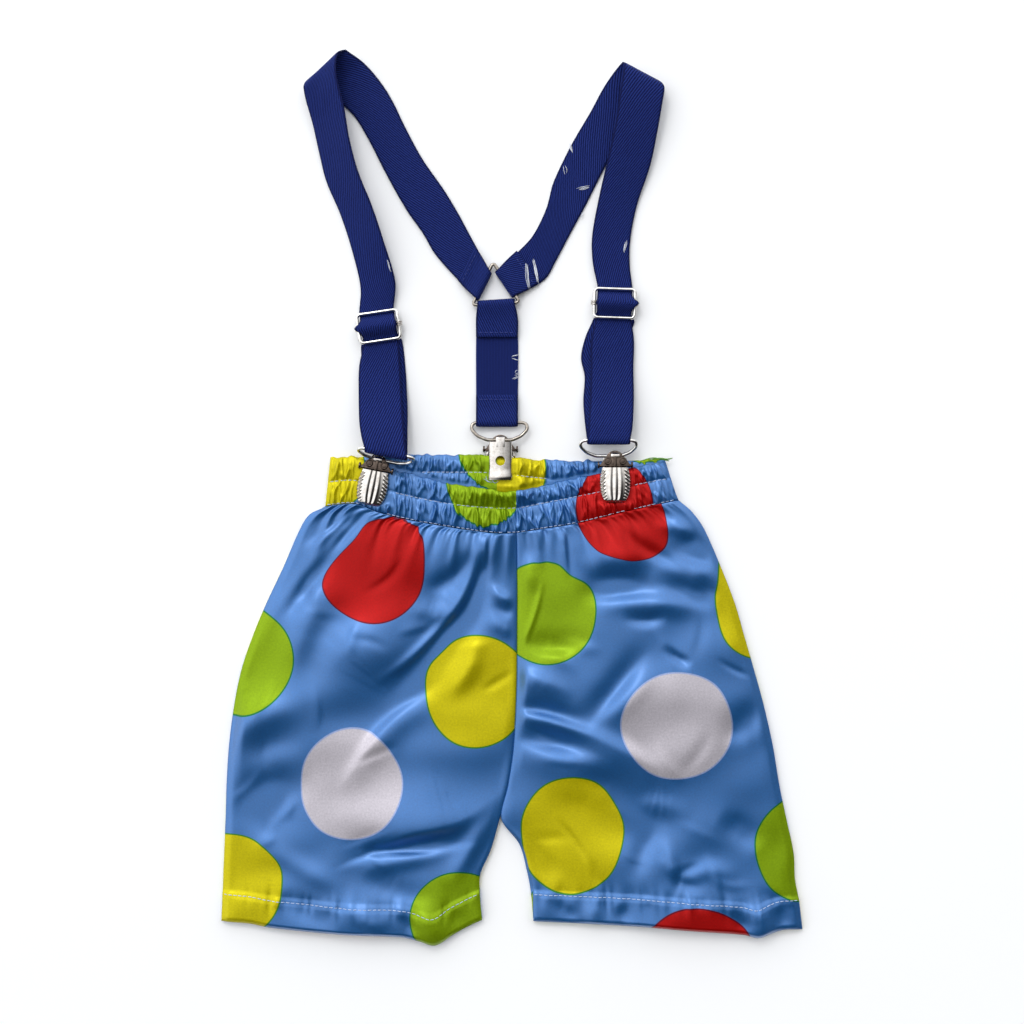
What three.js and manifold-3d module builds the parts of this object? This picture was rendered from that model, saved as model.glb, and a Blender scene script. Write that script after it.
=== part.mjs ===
// Toddler's satin dot shorts with clip-on Y-back elastic braces, laid out flat on their back.
// Millimetres, +Z up. The surface they lie on is z = 0, the braces point to +Y, and the origin
// is the middle of the whole footprint. Left is -X.
import * as THREE from 'three';
import { mergeVertices } from 'three/addons/utils/BufferGeometryUtils.js';
import Module from 'manifold-3d';

const { degToRad, lerp, smoothstep } = THREE.MathUtils;
const wasm = await Module();
wasm.setup();

// ---- Driving dimensions -------------------------------------------------------------------

const clothWall = 1.2;        // one panel of satin
const hemWall = 1.8;          // the panel where its hem is turned up
const bandWall = 2.0;         // the casing with its elastic
const elasticWall = 1.2;      // 25 mm twill elastic
const seamGap = 0.3;          // between two pieces that are sewn together
const layerGap = 0.4;         // between two layers that lie on each other

const gatherCount = 38;       // across each waistband
const gatherHeight = 1.2;
const pleatHeight = 1.1;      // the gathers where they run on into the panels
const pleatReach = 34;        // how far down the panels they run
const crownHeight = 1.7;      // soft loft in the middle of a front leg
const panelRows = 15;

const wire = 1.0;             // radius of the ring, slider and clip wire
const bar = 0.9;              // radius of the slider's middle bar
const wireGap = 0.35;         // between a wire and what is wrapped round it
const wrapRadius = wire + wireGap + elasticWall / 2;

// Waistband, front: its lower and upper edges, from the left side to the right side
const frontBand = [
  { x: -106.8, lower: -4.6, upper: 22.8 },
  { x: -89.6, lower: -3.4, upper: 23.2 },
  { x: -77.0, lower: -8.0, upper: 19.2 },
  { x: -60.0, lower: -12.3, upper: 14.2 },
  { x: -36.0, lower: -16.6, upper: 8.4 },
  { x: -11.4, lower: -20.0, upper: 4.9 },
  { x: 2.4, lower: -20.0, upper: 3.8 },
  { x: 12.6, lower: -18.4, upper: 6.0 },
  { x: 38.3, lower: -14.3, upper: 11.8 },
  { x: 62.2, lower: -8.4, upper: 16.0 },
  { x: 80.0, lower: -4.4, upper: 19.4 },
  { x: 95.2, lower: -1.1, upper: 21.1 },
];
const frontBandTop = { left: -103.9, right: 86.6 };

// Waistband, back: it stands about 20 mm higher than the front at the middle
const backBand = [
  { x: -106.8, lower: -4.9, upper: 22.6 },
  { x: -85.0, lower: -3.4, upper: 23.6 },
  { x: -54.0, lower: -3.0, upper: 24.8 },
  { x: -15.6, lower: -3.0, upper: 24.4 },
  { x: 12.6, lower: -3.2, upper: 22.2 },
  { x: 44.5, lower: -3.4, upper: 21.2 },
  { x: 66.2, lower: -3.0, upper: 21.4 },
  { x: 95.2, lower: -1.4, upper: 22.6 },
];
const backBandTop = { left: -102.6, right: 87.6 };

// Left leg, from the waist down to the hem: its side edge, and its centre seam or inseam
const leftLeg = [
  { sideX: -106.8, sideY: -4.9, seamX: 2.1, seamY: -20.3 },
  { sideX: -116.0, sideY: -10.0, seamX: 2.3, seamY: -24.5 },
  { sideX: -123.3, sideY: -22.3, seamX: 2.5, seamY: -36.0 },
  { sideX: -131.6, sideY: -41.0, seamX: 2.7, seamY: -54.0 },
  { sideX: -141.0, sideY: -61.0, seamX: 2.6, seamY: -72.0 },
  { sideX: -149.0, sideY: -80.5, seamX: 2.5, seamY: -90.0 },
  { sideX: -155.0, sideY: -98.5, seamX: 2.3, seamY: -107.0 },
  { sideX: -159.0, sideY: -118.0, seamX: 1.6, seamY: -124.0 },
  { sideX: -162.0, sideY: -141.0, seamX: 0.2, seamY: -145.0 },
  { sideX: -163.4, sideY: -163.0, seamX: -2.8, seamY: -165.0 },
  { sideX: -164.0, sideY: -183.0, seamX: -7.1, seamY: -183.6 },
  { sideX: -164.7, sideY: -200.0, seamX: -12.0, seamY: -201.0 },
  { sideX: -165.3, sideY: -214.0, seamX: -18.0, seamY: -215.0 },
  { sideX: -165.7, sideY: -226.3, seamX: -18.4, seamY: -226.0 },
  { sideX: -166.3, sideY: -241.9, seamX: -17.1, seamY: -241.3 },
];
// Right leg, the same way, but with the seam first
const rightLeg = [
  { sideX: 95.2, sideY: -1.4, seamX: 2.7, seamY: -20.3 },
  { sideX: 103.0, sideY: -9.0, seamX: 2.9, seamY: -24.5 },
  { sideX: 110.5, sideY: -19.0, seamX: 3.1, seamY: -36.0 },
  { sideX: 119.0, sideY: -38.0, seamX: 3.3, seamY: -54.0 },
  { sideX: 127.5, sideY: -60.0, seamX: 3.2, seamY: -72.0 },
  { sideX: 133.0, sideY: -79.0, seamX: 3.1, seamY: -90.0 },
  { sideX: 138.5, sideY: -98.0, seamX: 2.9, seamY: -107.0 },
  { sideX: 144.0, sideY: -118.0, seamX: 2.2, seamY: -124.0 },
  { sideX: 149.2, sideY: -141.0, seamX: 0.8, seamY: -145.0 },
  { sideX: 153.2, sideY: -165.0, seamX: -2.2, seamY: -165.0 },
  { sideX: 157.2, sideY: -184.0, seamX: -6.2, seamY: -183.4 },
  { sideX: 161.2, sideY: -203.0, seamX: 4.2, seamY: -198.4 },
  { sideX: 162.0, sideY: -218.0, seamX: 8.6, seamY: -214.0 },
  { sideX: 164.2, sideY: -230.0, seamX: 10.9, seamY: -226.5 },
  { sideX: 166.2, sideY: -246.7, seamX: 12.2, seamY: -241.9 },
];
const inseamPeek = 1.4;       // how far the right back panel shows past the front at its inseam

// How far each hem hangs below the straight line between its corners, from side to inseam
const leftHem = [
  { across: 0.0, drop: 0.0 },
  { across: 0.11, drop: 1.3 },
  { across: 0.19, drop: 3.6 },
  { across: 0.47, drop: 7.6 },
  { across: 0.69, drop: 9.2 },
  { across: 0.76, drop: 11.7 },
  { across: 0.82, drop: 14.2 },
  { across: 0.89, drop: 8.1 },
  { across: 0.97, drop: 1.8 },
  { across: 1.0, drop: 0.0 },
];
const rightHem = [
  { across: 0.0, drop: 0.0 },
  { across: 0.07, drop: 0.3 },
  { across: 0.12, drop: 2.7 },
  { across: 0.165, drop: 5.3 },
  { across: 0.22, drop: 3.7 },
  { across: 0.42, drop: 2.3 },
  { across: 0.6, drop: 0.8 },
  { across: 1.0, drop: 0.0 },
];
const hemWaveReach = 3.4;     // how many stations up the leg the hem's wave still shows

// Largest folds of the front: ridges, and troughs with a height below zero
const folds = [
  { name: 'left hip', fromX: -90, fromY: -6, toX: -120, toY: -18, spread: 5, height: 1.6 },
  { name: 'left hip, down', fromX: -92, fromY: -10, toX: -127, toY: -60, spread: 6, height: 1.5 },
  { name: 'left lap', fromX: -30, fromY: -33, toX: -112, toY: -118, spread: 12, height: -1.8 },
  { name: 'left thigh', fromX: -16, fromY: -54, toX: -78, toY: -154, spread: 11, height: 2.0 },
  { name: 'left tuck', fromX: -8, fromY: -170, toX: -58, toY: -192, spread: 5, height: 2.2 },
  { name: 'left tuck, out', fromX: -50, fromY: -189, toX: -106, toY: -209, spread: 5, height: 1.8 },
  { name: 'left side', fromX: -160, fromY: -180, toX: -120, toY: -160, spread: 8, height: -1.5 },
  { name: 'left hem', fromX: -50, fromY: -226, toX: -42, toY: -254, spread: 9, height: 2.4 },
  { name: 'right pocket', fromX: 42, fromY: -44, toX: 78, toY: -47, spread: 7, height: -1.5 },
  { name: 'right hip', fromX: 84, fromY: -30, toX: 108, toY: -56, spread: 6, height: 1.5 },
  { name: 'right lap', fromX: 46, fromY: -60, toX: 92, toY: -70, spread: 8, height: 2.0 },
  { name: 'right thigh', fromX: 60, fromY: -82, toX: 108, toY: -98, spread: 6, height: 1.2 },
  { name: 'right seam', fromX: 6, fromY: -118, toX: 62, toY: -140, spread: 5, height: 1.6 },
  { name: 'right seam, low', fromX: 6, fromY: -137, toX: 52, toY: -151, spread: 5, height: 1.3 },
  { name: 'right knee', fromX: 78, fromY: -194, toX: 98, toY: -226, spread: 6, height: 1.6 },
  { name: 'right hem', fromX: 140, fromY: -226, toX: 143, toY: -250, spread: 7, height: 1.6 },
];

// Braces. Each row of a strap is one line across it, from its edge A to its edge B.
// Rear straps run from the ring to the shoulder fold.
const ringCorners = {
  top: { x: -10.8, y: 134.8 },
  left: { x: -22.8, y: 110.2 },
  right: { x: 4.6, y: 111.9 },
};
const ringZ = 3.1;
const ringClear = 6.0;        // from a corner of the ring to the strap wrapped on its side
const flapLength = 14;        // sewn end of a strap, past the ring
const strapRest = 0.8;        // middle of a strap that lies on the surface

const rearLeft = [
  { ax: -24.0, ay: 150.5, az: 0.8, bx: -43.0, by: 138.5, bz: 0.8 },
  { ax: -31.0, ay: 163.5, az: 0.8, bx: -51.4, by: 152.2, bz: 0.8 },
  { ax: -38.8, ay: 176.4, az: 0.8, bx: -60.5, by: 165.2, bz: 0.8 },
  { ax: -51.5, ay: 194.7, az: 0.8, bx: -71.5, by: 184.5, bz: 0.8 },
  { ax: -61.7, ay: 213.6, az: 0.8, bx: -82.5, by: 206.0, bz: 0.8 },
  { ax: -68.3, ay: 227.3, az: 0.8, bx: -90.5, by: 219.0, bz: 0.8 },
  { ax: -75.0, ay: 238.0, az: 0.9, bx: -99.0, by: 227.0, bz: 0.8 },
  { ax: -84.5, ay: 248.8, az: 2.2, bx: -110.0, by: 233.5, bz: 1.2 },
  { ax: -93.8, ay: 254.6, az: 7.0, bx: -117.6, by: 237.4, bz: 3.8 },
];
const frontLeft = [
  { ax: -118.1, ay: 237.3, az: 4.5, bx: -94.6, by: 254.9, bz: 7.8 },
  { ax: -118.6, ay: 233.6, az: 7.0, bx: -98.4, by: 251.2, bz: 13.2 },
  { ax: -117.4, ay: 226.5, az: 6.0, bx: -99.0, by: 239.0, bz: 15.6 },
  { ax: -113.8, ay: 213.5, az: 4.0, bx: -94.8, by: 221.0, bz: 15.2 },
  { ax: -110.2, ay: 197.0, az: 2.4, bx: -91.6, by: 202.0, bz: 14.4 },
  { ax: -106.4, ay: 181.6, az: 1.4, bx: -87.0, by: 184.6, bz: 13.2 },
  { ax: -98.2, ay: 162.2, az: 1.2, bx: -79.4, by: 165.6, bz: 11.8 },
  { ax: -91.4, ay: 141.0, az: 1.2, bx: -72.6, by: 145.0, bz: 9.6 },
  { ax: -86.8, ay: 120.5, az: 1.4, bx: -66.6, by: 123.5, bz: 5.0 },
];
const tailLeftUpper = [
  { ax: -87.4, ay: 75.0, az: 3.4, bx: -63.8, by: 75.0, bz: 3.4 },
  { ax: -87.3, ay: 58.0, az: 6.8, bx: -62.7, by: 58.0, bz: 6.8 },
  { ax: -86.3, ay: 42.0, az: 12.0, bx: -61.2, by: 41.0, bz: 12.0 },
  { ax: -84.6, ay: 33.0, az: 14.8, bx: -60.0, by: 29.5, bz: 14.8 },
];
const tailLeftUnder = [
  { ax: -84.0, ay: 36.5, az: 10.2, bx: -59.2, by: 34.5, bz: 10.2 },
  { ax: -84.6, ay: 48.0, az: 6.0, bx: -59.4, by: 48.0, bz: 6.0 },
  { ax: -85.2, ay: 62.0, az: 2.2, bx: -60.2, by: 62.0, bz: 2.2 },
  { ax: -86.0, ay: 76.0, az: 0.7, bx: -61.2, by: 76.0, bz: 0.7 },
];

const rearRight = [
  { ax: 9.0, ay: 146.8, az: 0.8, bx: 19.0, by: 125.6, bz: 0.8 },
  { ax: 14.6, ay: 155.0, az: 0.8, bx: 25.4, by: 136.4, bz: 0.8 },
  { ax: 20.0, ay: 167.0, az: 0.8, bx: 33.2, by: 151.2, bz: 0.8 },
  { ax: 23.4, ay: 180.0, az: 0.8, bx: 42.0, by: 167.4, bz: 0.8 },
  { ax: 28.6, ay: 191.8, az: 0.8, bx: 49.0, by: 181.4, bz: 0.8 },
  { ax: 35.6, ay: 205.4, az: 0.8, bx: 56.6, by: 196.0, bz: 0.8 },
  { ax: 45.1, ay: 221.5, az: 0.8, bx: 66.0, by: 211.0, bz: 0.8 },
  { ax: 52.4, ay: 235.0, az: 1.0, bx: 76.6, by: 224.0, bz: 1.0 },
  { ax: 58.6, ay: 244.0, az: 2.2, bx: 82.4, by: 231.8, bz: 1.8 },
  { ax: 62.8, ay: 248.4, az: 5.6, bx: 85.4, by: 236.8, bz: 4.6 },
];
const frontRight = [
  { ax: 85.6, ay: 236.7, az: 5.3, bx: 63.2, by: 248.3, bz: 6.3 },
  { ax: 86.6, ay: 232.8, az: 9.0, bx: 63.4, by: 244.6, bz: 10.6 },
  { ax: 85.4, ay: 224.5, az: 9.2, bx: 61.6, by: 232.5, bz: 10.8 },
  { ax: 83.2, ay: 211.0, az: 7.4, bx: 59.0, by: 214.5, bz: 8.6 },
  { ax: 79.0, ay: 190.0, az: 4.0, bx: 54.4, by: 192.5, bz: 5.6 },
  { ax: 71.6, ay: 167.6, az: 1.6, bx: 49.6, by: 171.4, bz: 3.8 },
  { ax: 67.8, ay: 148.0, az: 1.6, bx: 45.8, by: 149.4, bz: 2.6 },
  { ax: 67.4, ay: 134.0, az: 1.8, bx: 46.2, by: 135.0, bz: 2.4 },
];
const tailRightUpper = [
  { ax: 45.2, ay: 90.0, az: 2.6, bx: 69.8, by: 90.0, bz: 2.6 },
  { ax: 45.0, ay: 74.0, az: 3.4, bx: 69.4, by: 74.0, bz: 3.4 },
  { ax: 44.4, ay: 57.0, az: 6.4, bx: 69.4, by: 57.0, bz: 6.4 },
  { ax: 43.2, ay: 41.0, az: 10.8, bx: 68.4, by: 41.0, bz: 10.8 },
];
const tailRightUnder = [
  { ax: 41.4, ay: 44.0, az: 6.0, bx: 66.4, by: 44.0, bz: 6.0 },
  { ax: 40.8, ay: 56.0, az: 2.8, bx: 66.0, by: 56.0, bz: 2.8 },
  { ax: 41.6, ay: 70.0, az: 0.9, bx: 66.6, by: 70.0, bz: 0.9 },
  { ax: 39.6, ay: 80.5, az: 0.7, bx: 65.0, by: 80.5, bz: 0.7 },
  { ax: 42.0, ay: 92.0, az: 0.7, bx: 67.0, by: 92.0, bz: 0.7 },
];

// Back strap: straight down from the ring to the back clip
const backStrap = {
  left: -20.6,
  right: 3.4,
  ringLeft: -19.8,
  ringRight: 1.5,
  topFlapEnd: 92.0,
  bottomFlapEnd: 59.0,
  flapZ: 2.5,
};
const flapSpring = 0.6;       // how far a sewn flap springs up before its stitches

// Sliders: wire frames, each with a middle bar whose ends are curled round the frame
const sliderHalfWide = 11.6;
const sliderHalfHigh = 8.2;
const sliderZ = 4.2;
const sliders = [
  { side: 'left', x: -76.2, y: 98.0, turn: 8.5 },
  { side: 'right', x: 58.6, y: 111.2, turn: -2 },
];
const sliderStrapHalf = 10.0;     // the strap is squeezed to this half width inside the frame
const sliderStrapLow = 2.25;      // middle of the strap where it passes under the frame
const sliderStrapHigh = 7.6;      // and where it passes over the middle bar
const sliderStrapSwell = 1.8;     // it widens again by this much on the middle bar
const sliderStrapPlaces = [9.6, 8.2, 6.2, 4.4, 2.6, 0, -2.6, -4.4, -6.2, -8.2, -9.6];
const barWrapHalf = 9.0;
const curlWall = 0.65;            // the middle bar's ends are rolled to this wall round the frame
const curlLength = 3.2;

// Clips: a wire loop in a barrel, a body with its jaw plate, and a domed lever cover.
// In a clip's own frame the barrel is at y = 0 and the cloth comes in from below, at z = -1 to 1.
const clips = [
  { side: 'left', x: -76.4, y: 21.9, z: 4.6, turn: -11, flipped: false, loopTilt: 63, loopShift: 4.5 },
  { side: 'right', x: 58.8, y: 24.0, z: 4.6, turn: 0, flipped: false, loopTilt: 32, loopShift: -4 },
  { side: 'back', x: -6.6, y: 33.1, z: 4.8, turn: 0, flipped: true, loopTilt: 10, loopShift: 0.6 },
];
const loopHeight = 10.2;
const loopBarHalf = 12.2;         // half the width of strap that it holds
const plate = { halfWide: 6.6, top: -1.2, bottom: -22.8, near: -2.3, far: -1.3, hole: 2.85, holeY: -12 };
const hood = { halfWide: 9.4, top: -1.2, bottom: -6.4, near: 1.3, far: 3.5 };
const barrel = { radius: 2.3, halfWide: 2.6 };
const cover = { halfWide: 9.2, top: -6.7, bottom: -26.4, edge: 2.4, dome: 2.0, wall: 0.9 };

// Where a clip presses the gathers flat, and how far the layers part round its plate or cover
const pressedPads = [
  { x: -79.1, y: 8.2, halfWide: 11, halfHigh: 16 },
  { x: 58.8, y: 10.0, halfWide: 10.5, halfHigh: 16 },
  { x: -6.6, y: 20.0, halfWide: 8.5, halfHigh: 12 },
];
const platePads = [
  { x: -79.0, y: 10.0, halfWide: 9.5, halfHigh: 14.5 },
  { x: 58.8, y: 10.0, halfWide: 8.0, halfHigh: 12.5 },
];
const coverPads = [{ x: -6.6, y: 24.0, halfWide: 10.6, halfHigh: 18.0 }];
const plateLift = 1.2;
const coverLift = 3.8;
const padFade = 12;

// ---- Geometry helpers ---------------------------------------------------------------------

// A closed mesh from points and triangles, with its faces turned outwards
function closedMesh(points, triangles) {
  let volume = 0;
  for (const [a, b, c] of triangles) {
    volume += points[a].dot(new THREE.Vector3().crossVectors(points[b], points[c]));
  }
  const outward = volume < 0 ? triangles.map(([a, b, c]) => [a, c, b]) : triangles;
  const geometry = new THREE.BufferGeometry().setFromPoints(points);
  geometry.setIndex(outward.flat());
  geometry.computeVertexNormals();
  return geometry;
}

// A closed wall between an outer and an inner grid of points, given as rows. The two may have
// different numbers of rows and columns, and strips of triangles join their four edges.
function wallBetween(outer, inner) {
  const points = [];
  const triangles = [];
  const number = (grid) => grid.map((row) => row.map((point) => points.push(point) - 1));
  const face = (ids, turned) => {
    for (let r = 0; r < ids.length - 1; r++) {
      for (let c = 0; c < ids[r].length - 1; c++) {
        const [a, b, d, e] = [ids[r][c], ids[r + 1][c], ids[r + 1][c + 1], ids[r][c + 1]];
        triangles.push(turned ? [a, d, b] : [a, b, d], turned ? [a, e, d] : [a, d, e]);
      }
    }
  };
  const join = (lineA, lineB) => {
    let [a, b] = [0, 0];
    while (a < lineA.length - 1 || b < lineB.length - 1) {
      const share = (a + 1) / (lineA.length - 1) - (b + 1) / (lineB.length - 1);
      if (b === lineB.length - 1 || (a < lineA.length - 1 && share <= 0)) {
        triangles.push([lineA[a], lineB[b], lineA[a + 1]]);
        a++;
      } else {
        triangles.push([lineA[a], lineB[b], lineB[b + 1]]);
        b++;
      }
    }
  };
  const outerIds = number(outer);
  const innerIds = number(inner);
  const columnOf = (ids, c) => ids.map((row) => row.at(c));
  face(outerIds, false);
  face(innerIds, true);
  join(columnOf(outerIds, 0), columnOf(innerIds, 0));
  join(columnOf(outerIds, -1).reverse(), columnOf(innerIds, -1).reverse());
  join(outerIds[0].toReversed(), innerIds[0].toReversed());
  join(outerIds.at(-1), innerIds.at(-1));
  return closedMesh(points, triangles);
}

// One column of a table, read at a place along another on a smooth curve through its rows
function readTable(rows, placeColumn, valueColumn, place) {
  const lastSpan = rows.length - 2;
  const found = rows.findIndex((row, n) => n <= lastSpan && place < rows[n + 1][placeColumn]);
  const n = found < 0 ? lastSpan : found;
  const before = rows[Math.max(n - 1, 0)];
  const after = rows[Math.min(n + 2, lastSpan + 1)];
  const [a, b] = [rows[n], rows[n + 1]];
  const slope = (from, to) => (to[valueColumn] - from[valueColumn]) / (to[placeColumn] - from[placeColumn]);
  const span = b[placeColumn] - a[placeColumn];
  const t = (place - a[placeColumn]) / span;
  const rise = 3 * t * t - 2 * t * t * t;
  const leave = (t * t * t - 2 * t * t + t) * span * slope(before, b);
  const arrive = (t * t * t - t * t) * span * slope(a, after);
  return lerp(a[valueColumn], b[valueColumn], rise) + leave + arrive;
}

// 1 inside a pad, falling softly to 0 round it
function onPads(pads, x, y, fade) {
  const fall = (distance, half) => 1 - smoothstep(Math.abs(distance), half, half + fade);
  return Math.max(...pads.map((pad) => fall(x - pad.x, pad.halfWide) * fall(y - pad.y, pad.halfHigh)));
}

function toManifold(geometry) {
  const bare = new THREE.BufferGeometry();
  bare.setAttribute('position', geometry.getAttribute('position'));
  if (geometry.index) bare.setIndex(geometry.index);
  const merged = mergeVertices(bare);
  const mesh = new wasm.Mesh({
    numProp: 3,
    vertProperties: Float32Array.from(merged.getAttribute('position').array),
    triVerts: Uint32Array.from(merged.index.array),
  });
  return new wasm.Manifold(mesh);
}

function fromManifold(manifold) {
  const { vertProperties, triVerts } = manifold.getMesh();
  const geometry = new THREE.BufferGeometry();
  geometry.setAttribute('position', new THREE.BufferAttribute(vertProperties, 3));
  geometry.setIndex(new THREE.BufferAttribute(triVerts, 1));
  geometry.computeVertexNormals();
  return geometry;
}

function box(x0, x1, y0, y1, z0, z1) {
  const geometry = new THREE.BoxGeometry(x1 - x0, y1 - y0, z1 - z0);
  return geometry.translate((x0 + x1) / 2, (y0 + y1) / 2, (z0 + z1) / 2);
}

function rod(radius, length, axis, sides = 12) {
  const geometry = new THREE.CylinderGeometry(radius, radius, length, sides);
  return axis === 'x' ? geometry.rotateZ(Math.PI / 2) : geometry;
}

// A closed loop of round wire through points that lie in one plane
function wireLoop(points, radius, sides = 8) {
  const centre = points.reduce((sum, p) => sum.add(p), new THREE.Vector3()).divideScalar(points.length);
  const plane = new THREE.Vector3();
  points.forEach((p, i) => {
    const next = points[(i + 1) % points.length];
    plane.add(new THREE.Vector3().crossVectors(p.clone().sub(centre), next.clone().sub(centre)));
  });
  plane.normalize();
  const ring = points.map((p, i) => {
    const before = points[(i + points.length - 1) % points.length];
    const after = points[(i + 1) % points.length];
    const run = after.clone().sub(before).normalize();
    const across = new THREE.Vector3().crossVectors(run, plane);
    return Array.from({ length: sides }, (_, s) => {
      const angle = (2 * Math.PI * s) / sides;
      const sideways = p.clone().addScaledVector(across, radius * Math.cos(angle));
      return sideways.addScaledVector(plane, radius * Math.sin(angle));
    });
  });
  const triangles = [];
  ring.forEach((section, i) => {
    section.forEach((_, s) => {
      const [i2, s2] = [(i + 1) % ring.length, (s + 1) % sides];
      const [a, b, c, d] = [i * sides + s, i2 * sides + s, i2 * sides + s2, i * sides + s2];
      triangles.push([a, b, c], [a, c, d]);
    });
  });
  return closedMesh(ring.flat(), triangles);
}

// Points round a polygon whose corners are rounded
function roundedCorners(corners, radius, steps = 3) {
  return corners.flatMap((corner, i) => {
    const before = corners[(i + corners.length - 1) % corners.length];
    const after = corners[(i + 1) % corners.length];
    const start = corner.clone().add(before.clone().sub(corner).setLength(radius));
    const end = corner.clone().add(after.clone().sub(corner).setLength(radius));
    return new THREE.QuadraticBezierCurve3(start, corner, end).getPoints(steps);
  });
}

// Strap lines: a line across the strap is a pair of end points, [A, B]
function acrossStrap(row) {
  return [new THREE.Vector3(row.ax, row.ay, row.az), new THREE.Vector3(row.bx, row.by, row.bz)];
}

// Lines of a strap along a smooth curve through its table's rows
function smoothStrap(rows, steps = 2) {
  const curves = [0, 1].map((edge) => {
    const points = rows.map((row) => acrossStrap(row)[edge]);
    return new THREE.CatmullRomCurve3(points, false, 'catmullrom', 0.5);
  });
  const count = (rows.length - 1) * steps;
  return Array.from({ length: count + 1 }, (_, i) => curves.map((curve) => curve.getPoint(i / count)));
}

// Lines of a strap round a straight wire from A to B. Angles are measured up from the outward side.
function roundWire(wireA, wireB, outward, radius, fromAngle, toAngle, steps = 6) {
  return Array.from({ length: steps + 1 }, (_, i) => {
    const angle = degToRad(lerp(fromAngle, toAngle, i / steps));
    const offset = outward.clone().multiplyScalar(radius * Math.cos(angle));
    offset.z += radius * Math.sin(angle);
    return [wireA.clone().add(offset), wireB.clone().add(offset)];
  });
}

// The wall of a strap over its lines
function strapWall(lines) {
  const shift = (side) => lines.map(([a, b], i) => {
    const [beforeA, beforeB] = lines[Math.max(i - 1, 0)];
    const [afterA, afterB] = lines[Math.min(i + 1, lines.length - 1)];
    const run = afterA.clone().add(afterB).sub(beforeA).sub(beforeB);
    const normal = run.cross(b.clone().sub(a)).normalize();
    return [a, b].map((p) => p.clone().addScaledVector(normal, (side * elasticWall) / 2));
  });
  return wallBetween(shift(1), shift(-1));
}

// ---- Materials ----------------------------------------------------------------------------

function material(color, roughness, metalness) {
  return new THREE.MeshStandardMaterial({ color, roughness, metalness });
}
const satin = () => material('#3f78bd', 0.38, 0);
const elastic = () => material('#1d2f7a', 0.75, 0);
const nickel = () => material('#b9b8b4', 0.28, 1);
const darkNickel = () => material('#77726a', 0.4, 1);

const garment = new THREE.Group();

function piece(name, geometry, finish, parent = garment) {
  const mesh = new THREE.Mesh(geometry, finish);
  mesh.name = name;
  parent.add(mesh);
  return mesh;
}

// ---- Waistband ----------------------------------------------------------------------------

// Rows across the casing: its sewn lower edge, the two channels with the stitching between
// them, and the ruffled upper edge. Rise is the thickness and gather the height of the gathers.
const bandRows = [
  { up: 0.0, rise: 0.8, gather: 0.5 },
  { up: 0.24, rise: 1.0, gather: 1.0 },
  { up: 0.5, rise: 0.8, gather: 0.3 },
  { up: 0.76, rise: 1.0, gather: 1.0 },
  { up: 1.0, rise: 0.7, gather: 0.7 },
];

const backLift = (x, y) => coverLift * onPads(coverPads, x, y, padFade);

// Top of the back layers, where the front layers lie on them
function backTop(x, y) {
  const onPanel = 1 - smoothstep(y, -12, -4);
  return lerp(bandWall, hemWall, onPanel) + backLift(x, y);
}

// The front layers bridge the foot of the lift a little
function frontUnder(x, y) {
  return backTop(x, y) + layerGap + 0.25 * backLift(x, y) + plateLift * onPads(platePads, x, y, padFade);
}

function bandPlace(band, top, along, up) {
  const xLower = lerp(band[0].x, band.at(-1).x, along);
  const xUpper = lerp(top.left, top.right, along);
  const x = lerp(xLower, xUpper, up);
  return { x, y: lerp(readTable(band, 'x', 'lower', xLower), readTable(band, 'x', 'upper', xUpper), up) };
}

function waistband(band, top, under, gathersShow) {
  const columns = 2 * gatherCount;
  const outer = bandRows.map(({ up, rise, gather }) => Array.from({ length: columns + 1 }, (_, c) => {
    const { x, y } = bandPlace(band, top, c / columns, up);
    const uneven = 0.8 + 0.2 * Math.sin(2.3 * c);
    const ridge = c % 2 ? gatherHeight * gather * uneven : 0;
    return new THREE.Vector3(x, y, under(x, y) + bandWall * rise + ridge * gathersShow(x, y));
  }));
  const inner = bandRows.map(({ up }) => Array.from({ length: gatherCount + 1 }, (_, c) => {
    const { x, y } = bandPlace(band, top, c / gatherCount, up);
    return new THREE.Vector3(x, y, under(x, y));
  }));
  return wallBetween(outer.reverse(), inner.reverse());
}

const unpressed = (x, y) => 1 - onPads(pressedPads, x, y, 3);
const aboveFront = (x, y) => smoothstep(y - readTable(frontBand, 'x', 'upper', x), 2, 6);
const backGathersShow = (x, y) => unpressed(x, y) * aboveFront(x, y);

piece('waistband_back', waistband(backBand, backBandTop, backLift, backGathersShow), satin());
piece('waistband_front', waistband(frontBand, frontBandTop, frontUnder, unpressed), satin());

// ---- Leg panels ---------------------------------------------------------------------------

// Place of a point of a leg: across runs from the side edge to the seam, and down from the
// waist to the hem. The panel's upper edge follows the waistband's lower edge.
function legPlace(leg, hem, band, across, down, peek) {
  const stations = leg.map((row, station) => ({ ...row, station }));
  const station = down * (leg.length - 1);
  const at = (column) => readTable(stations, 'station', column, station);
  const inseam = smoothstep(station, 10, 11) * (1 - smoothstep(station, 12.5, 14));
  const x = lerp(at('sideX'), at('seamX') + peek * inseam, across);
  const hemWave = smoothstep(station, leg.length - 1 - hemWaveReach, leg.length - 1.6);
  const waist = 1 - smoothstep(station, 0, 2.5);
  const line = lerp(at('sideY'), at('seamY'), across);
  const drop = hemWave * readTable(hem, 'across', 'drop', across);
  const waistLine = lerp(leg[0].sideY, leg[0].seamY, across);
  const follow = waist * (readTable(band, 'x', 'lower', x) - seamGap - waistLine);
  return { x, y: line - drop + follow, station };
}

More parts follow.
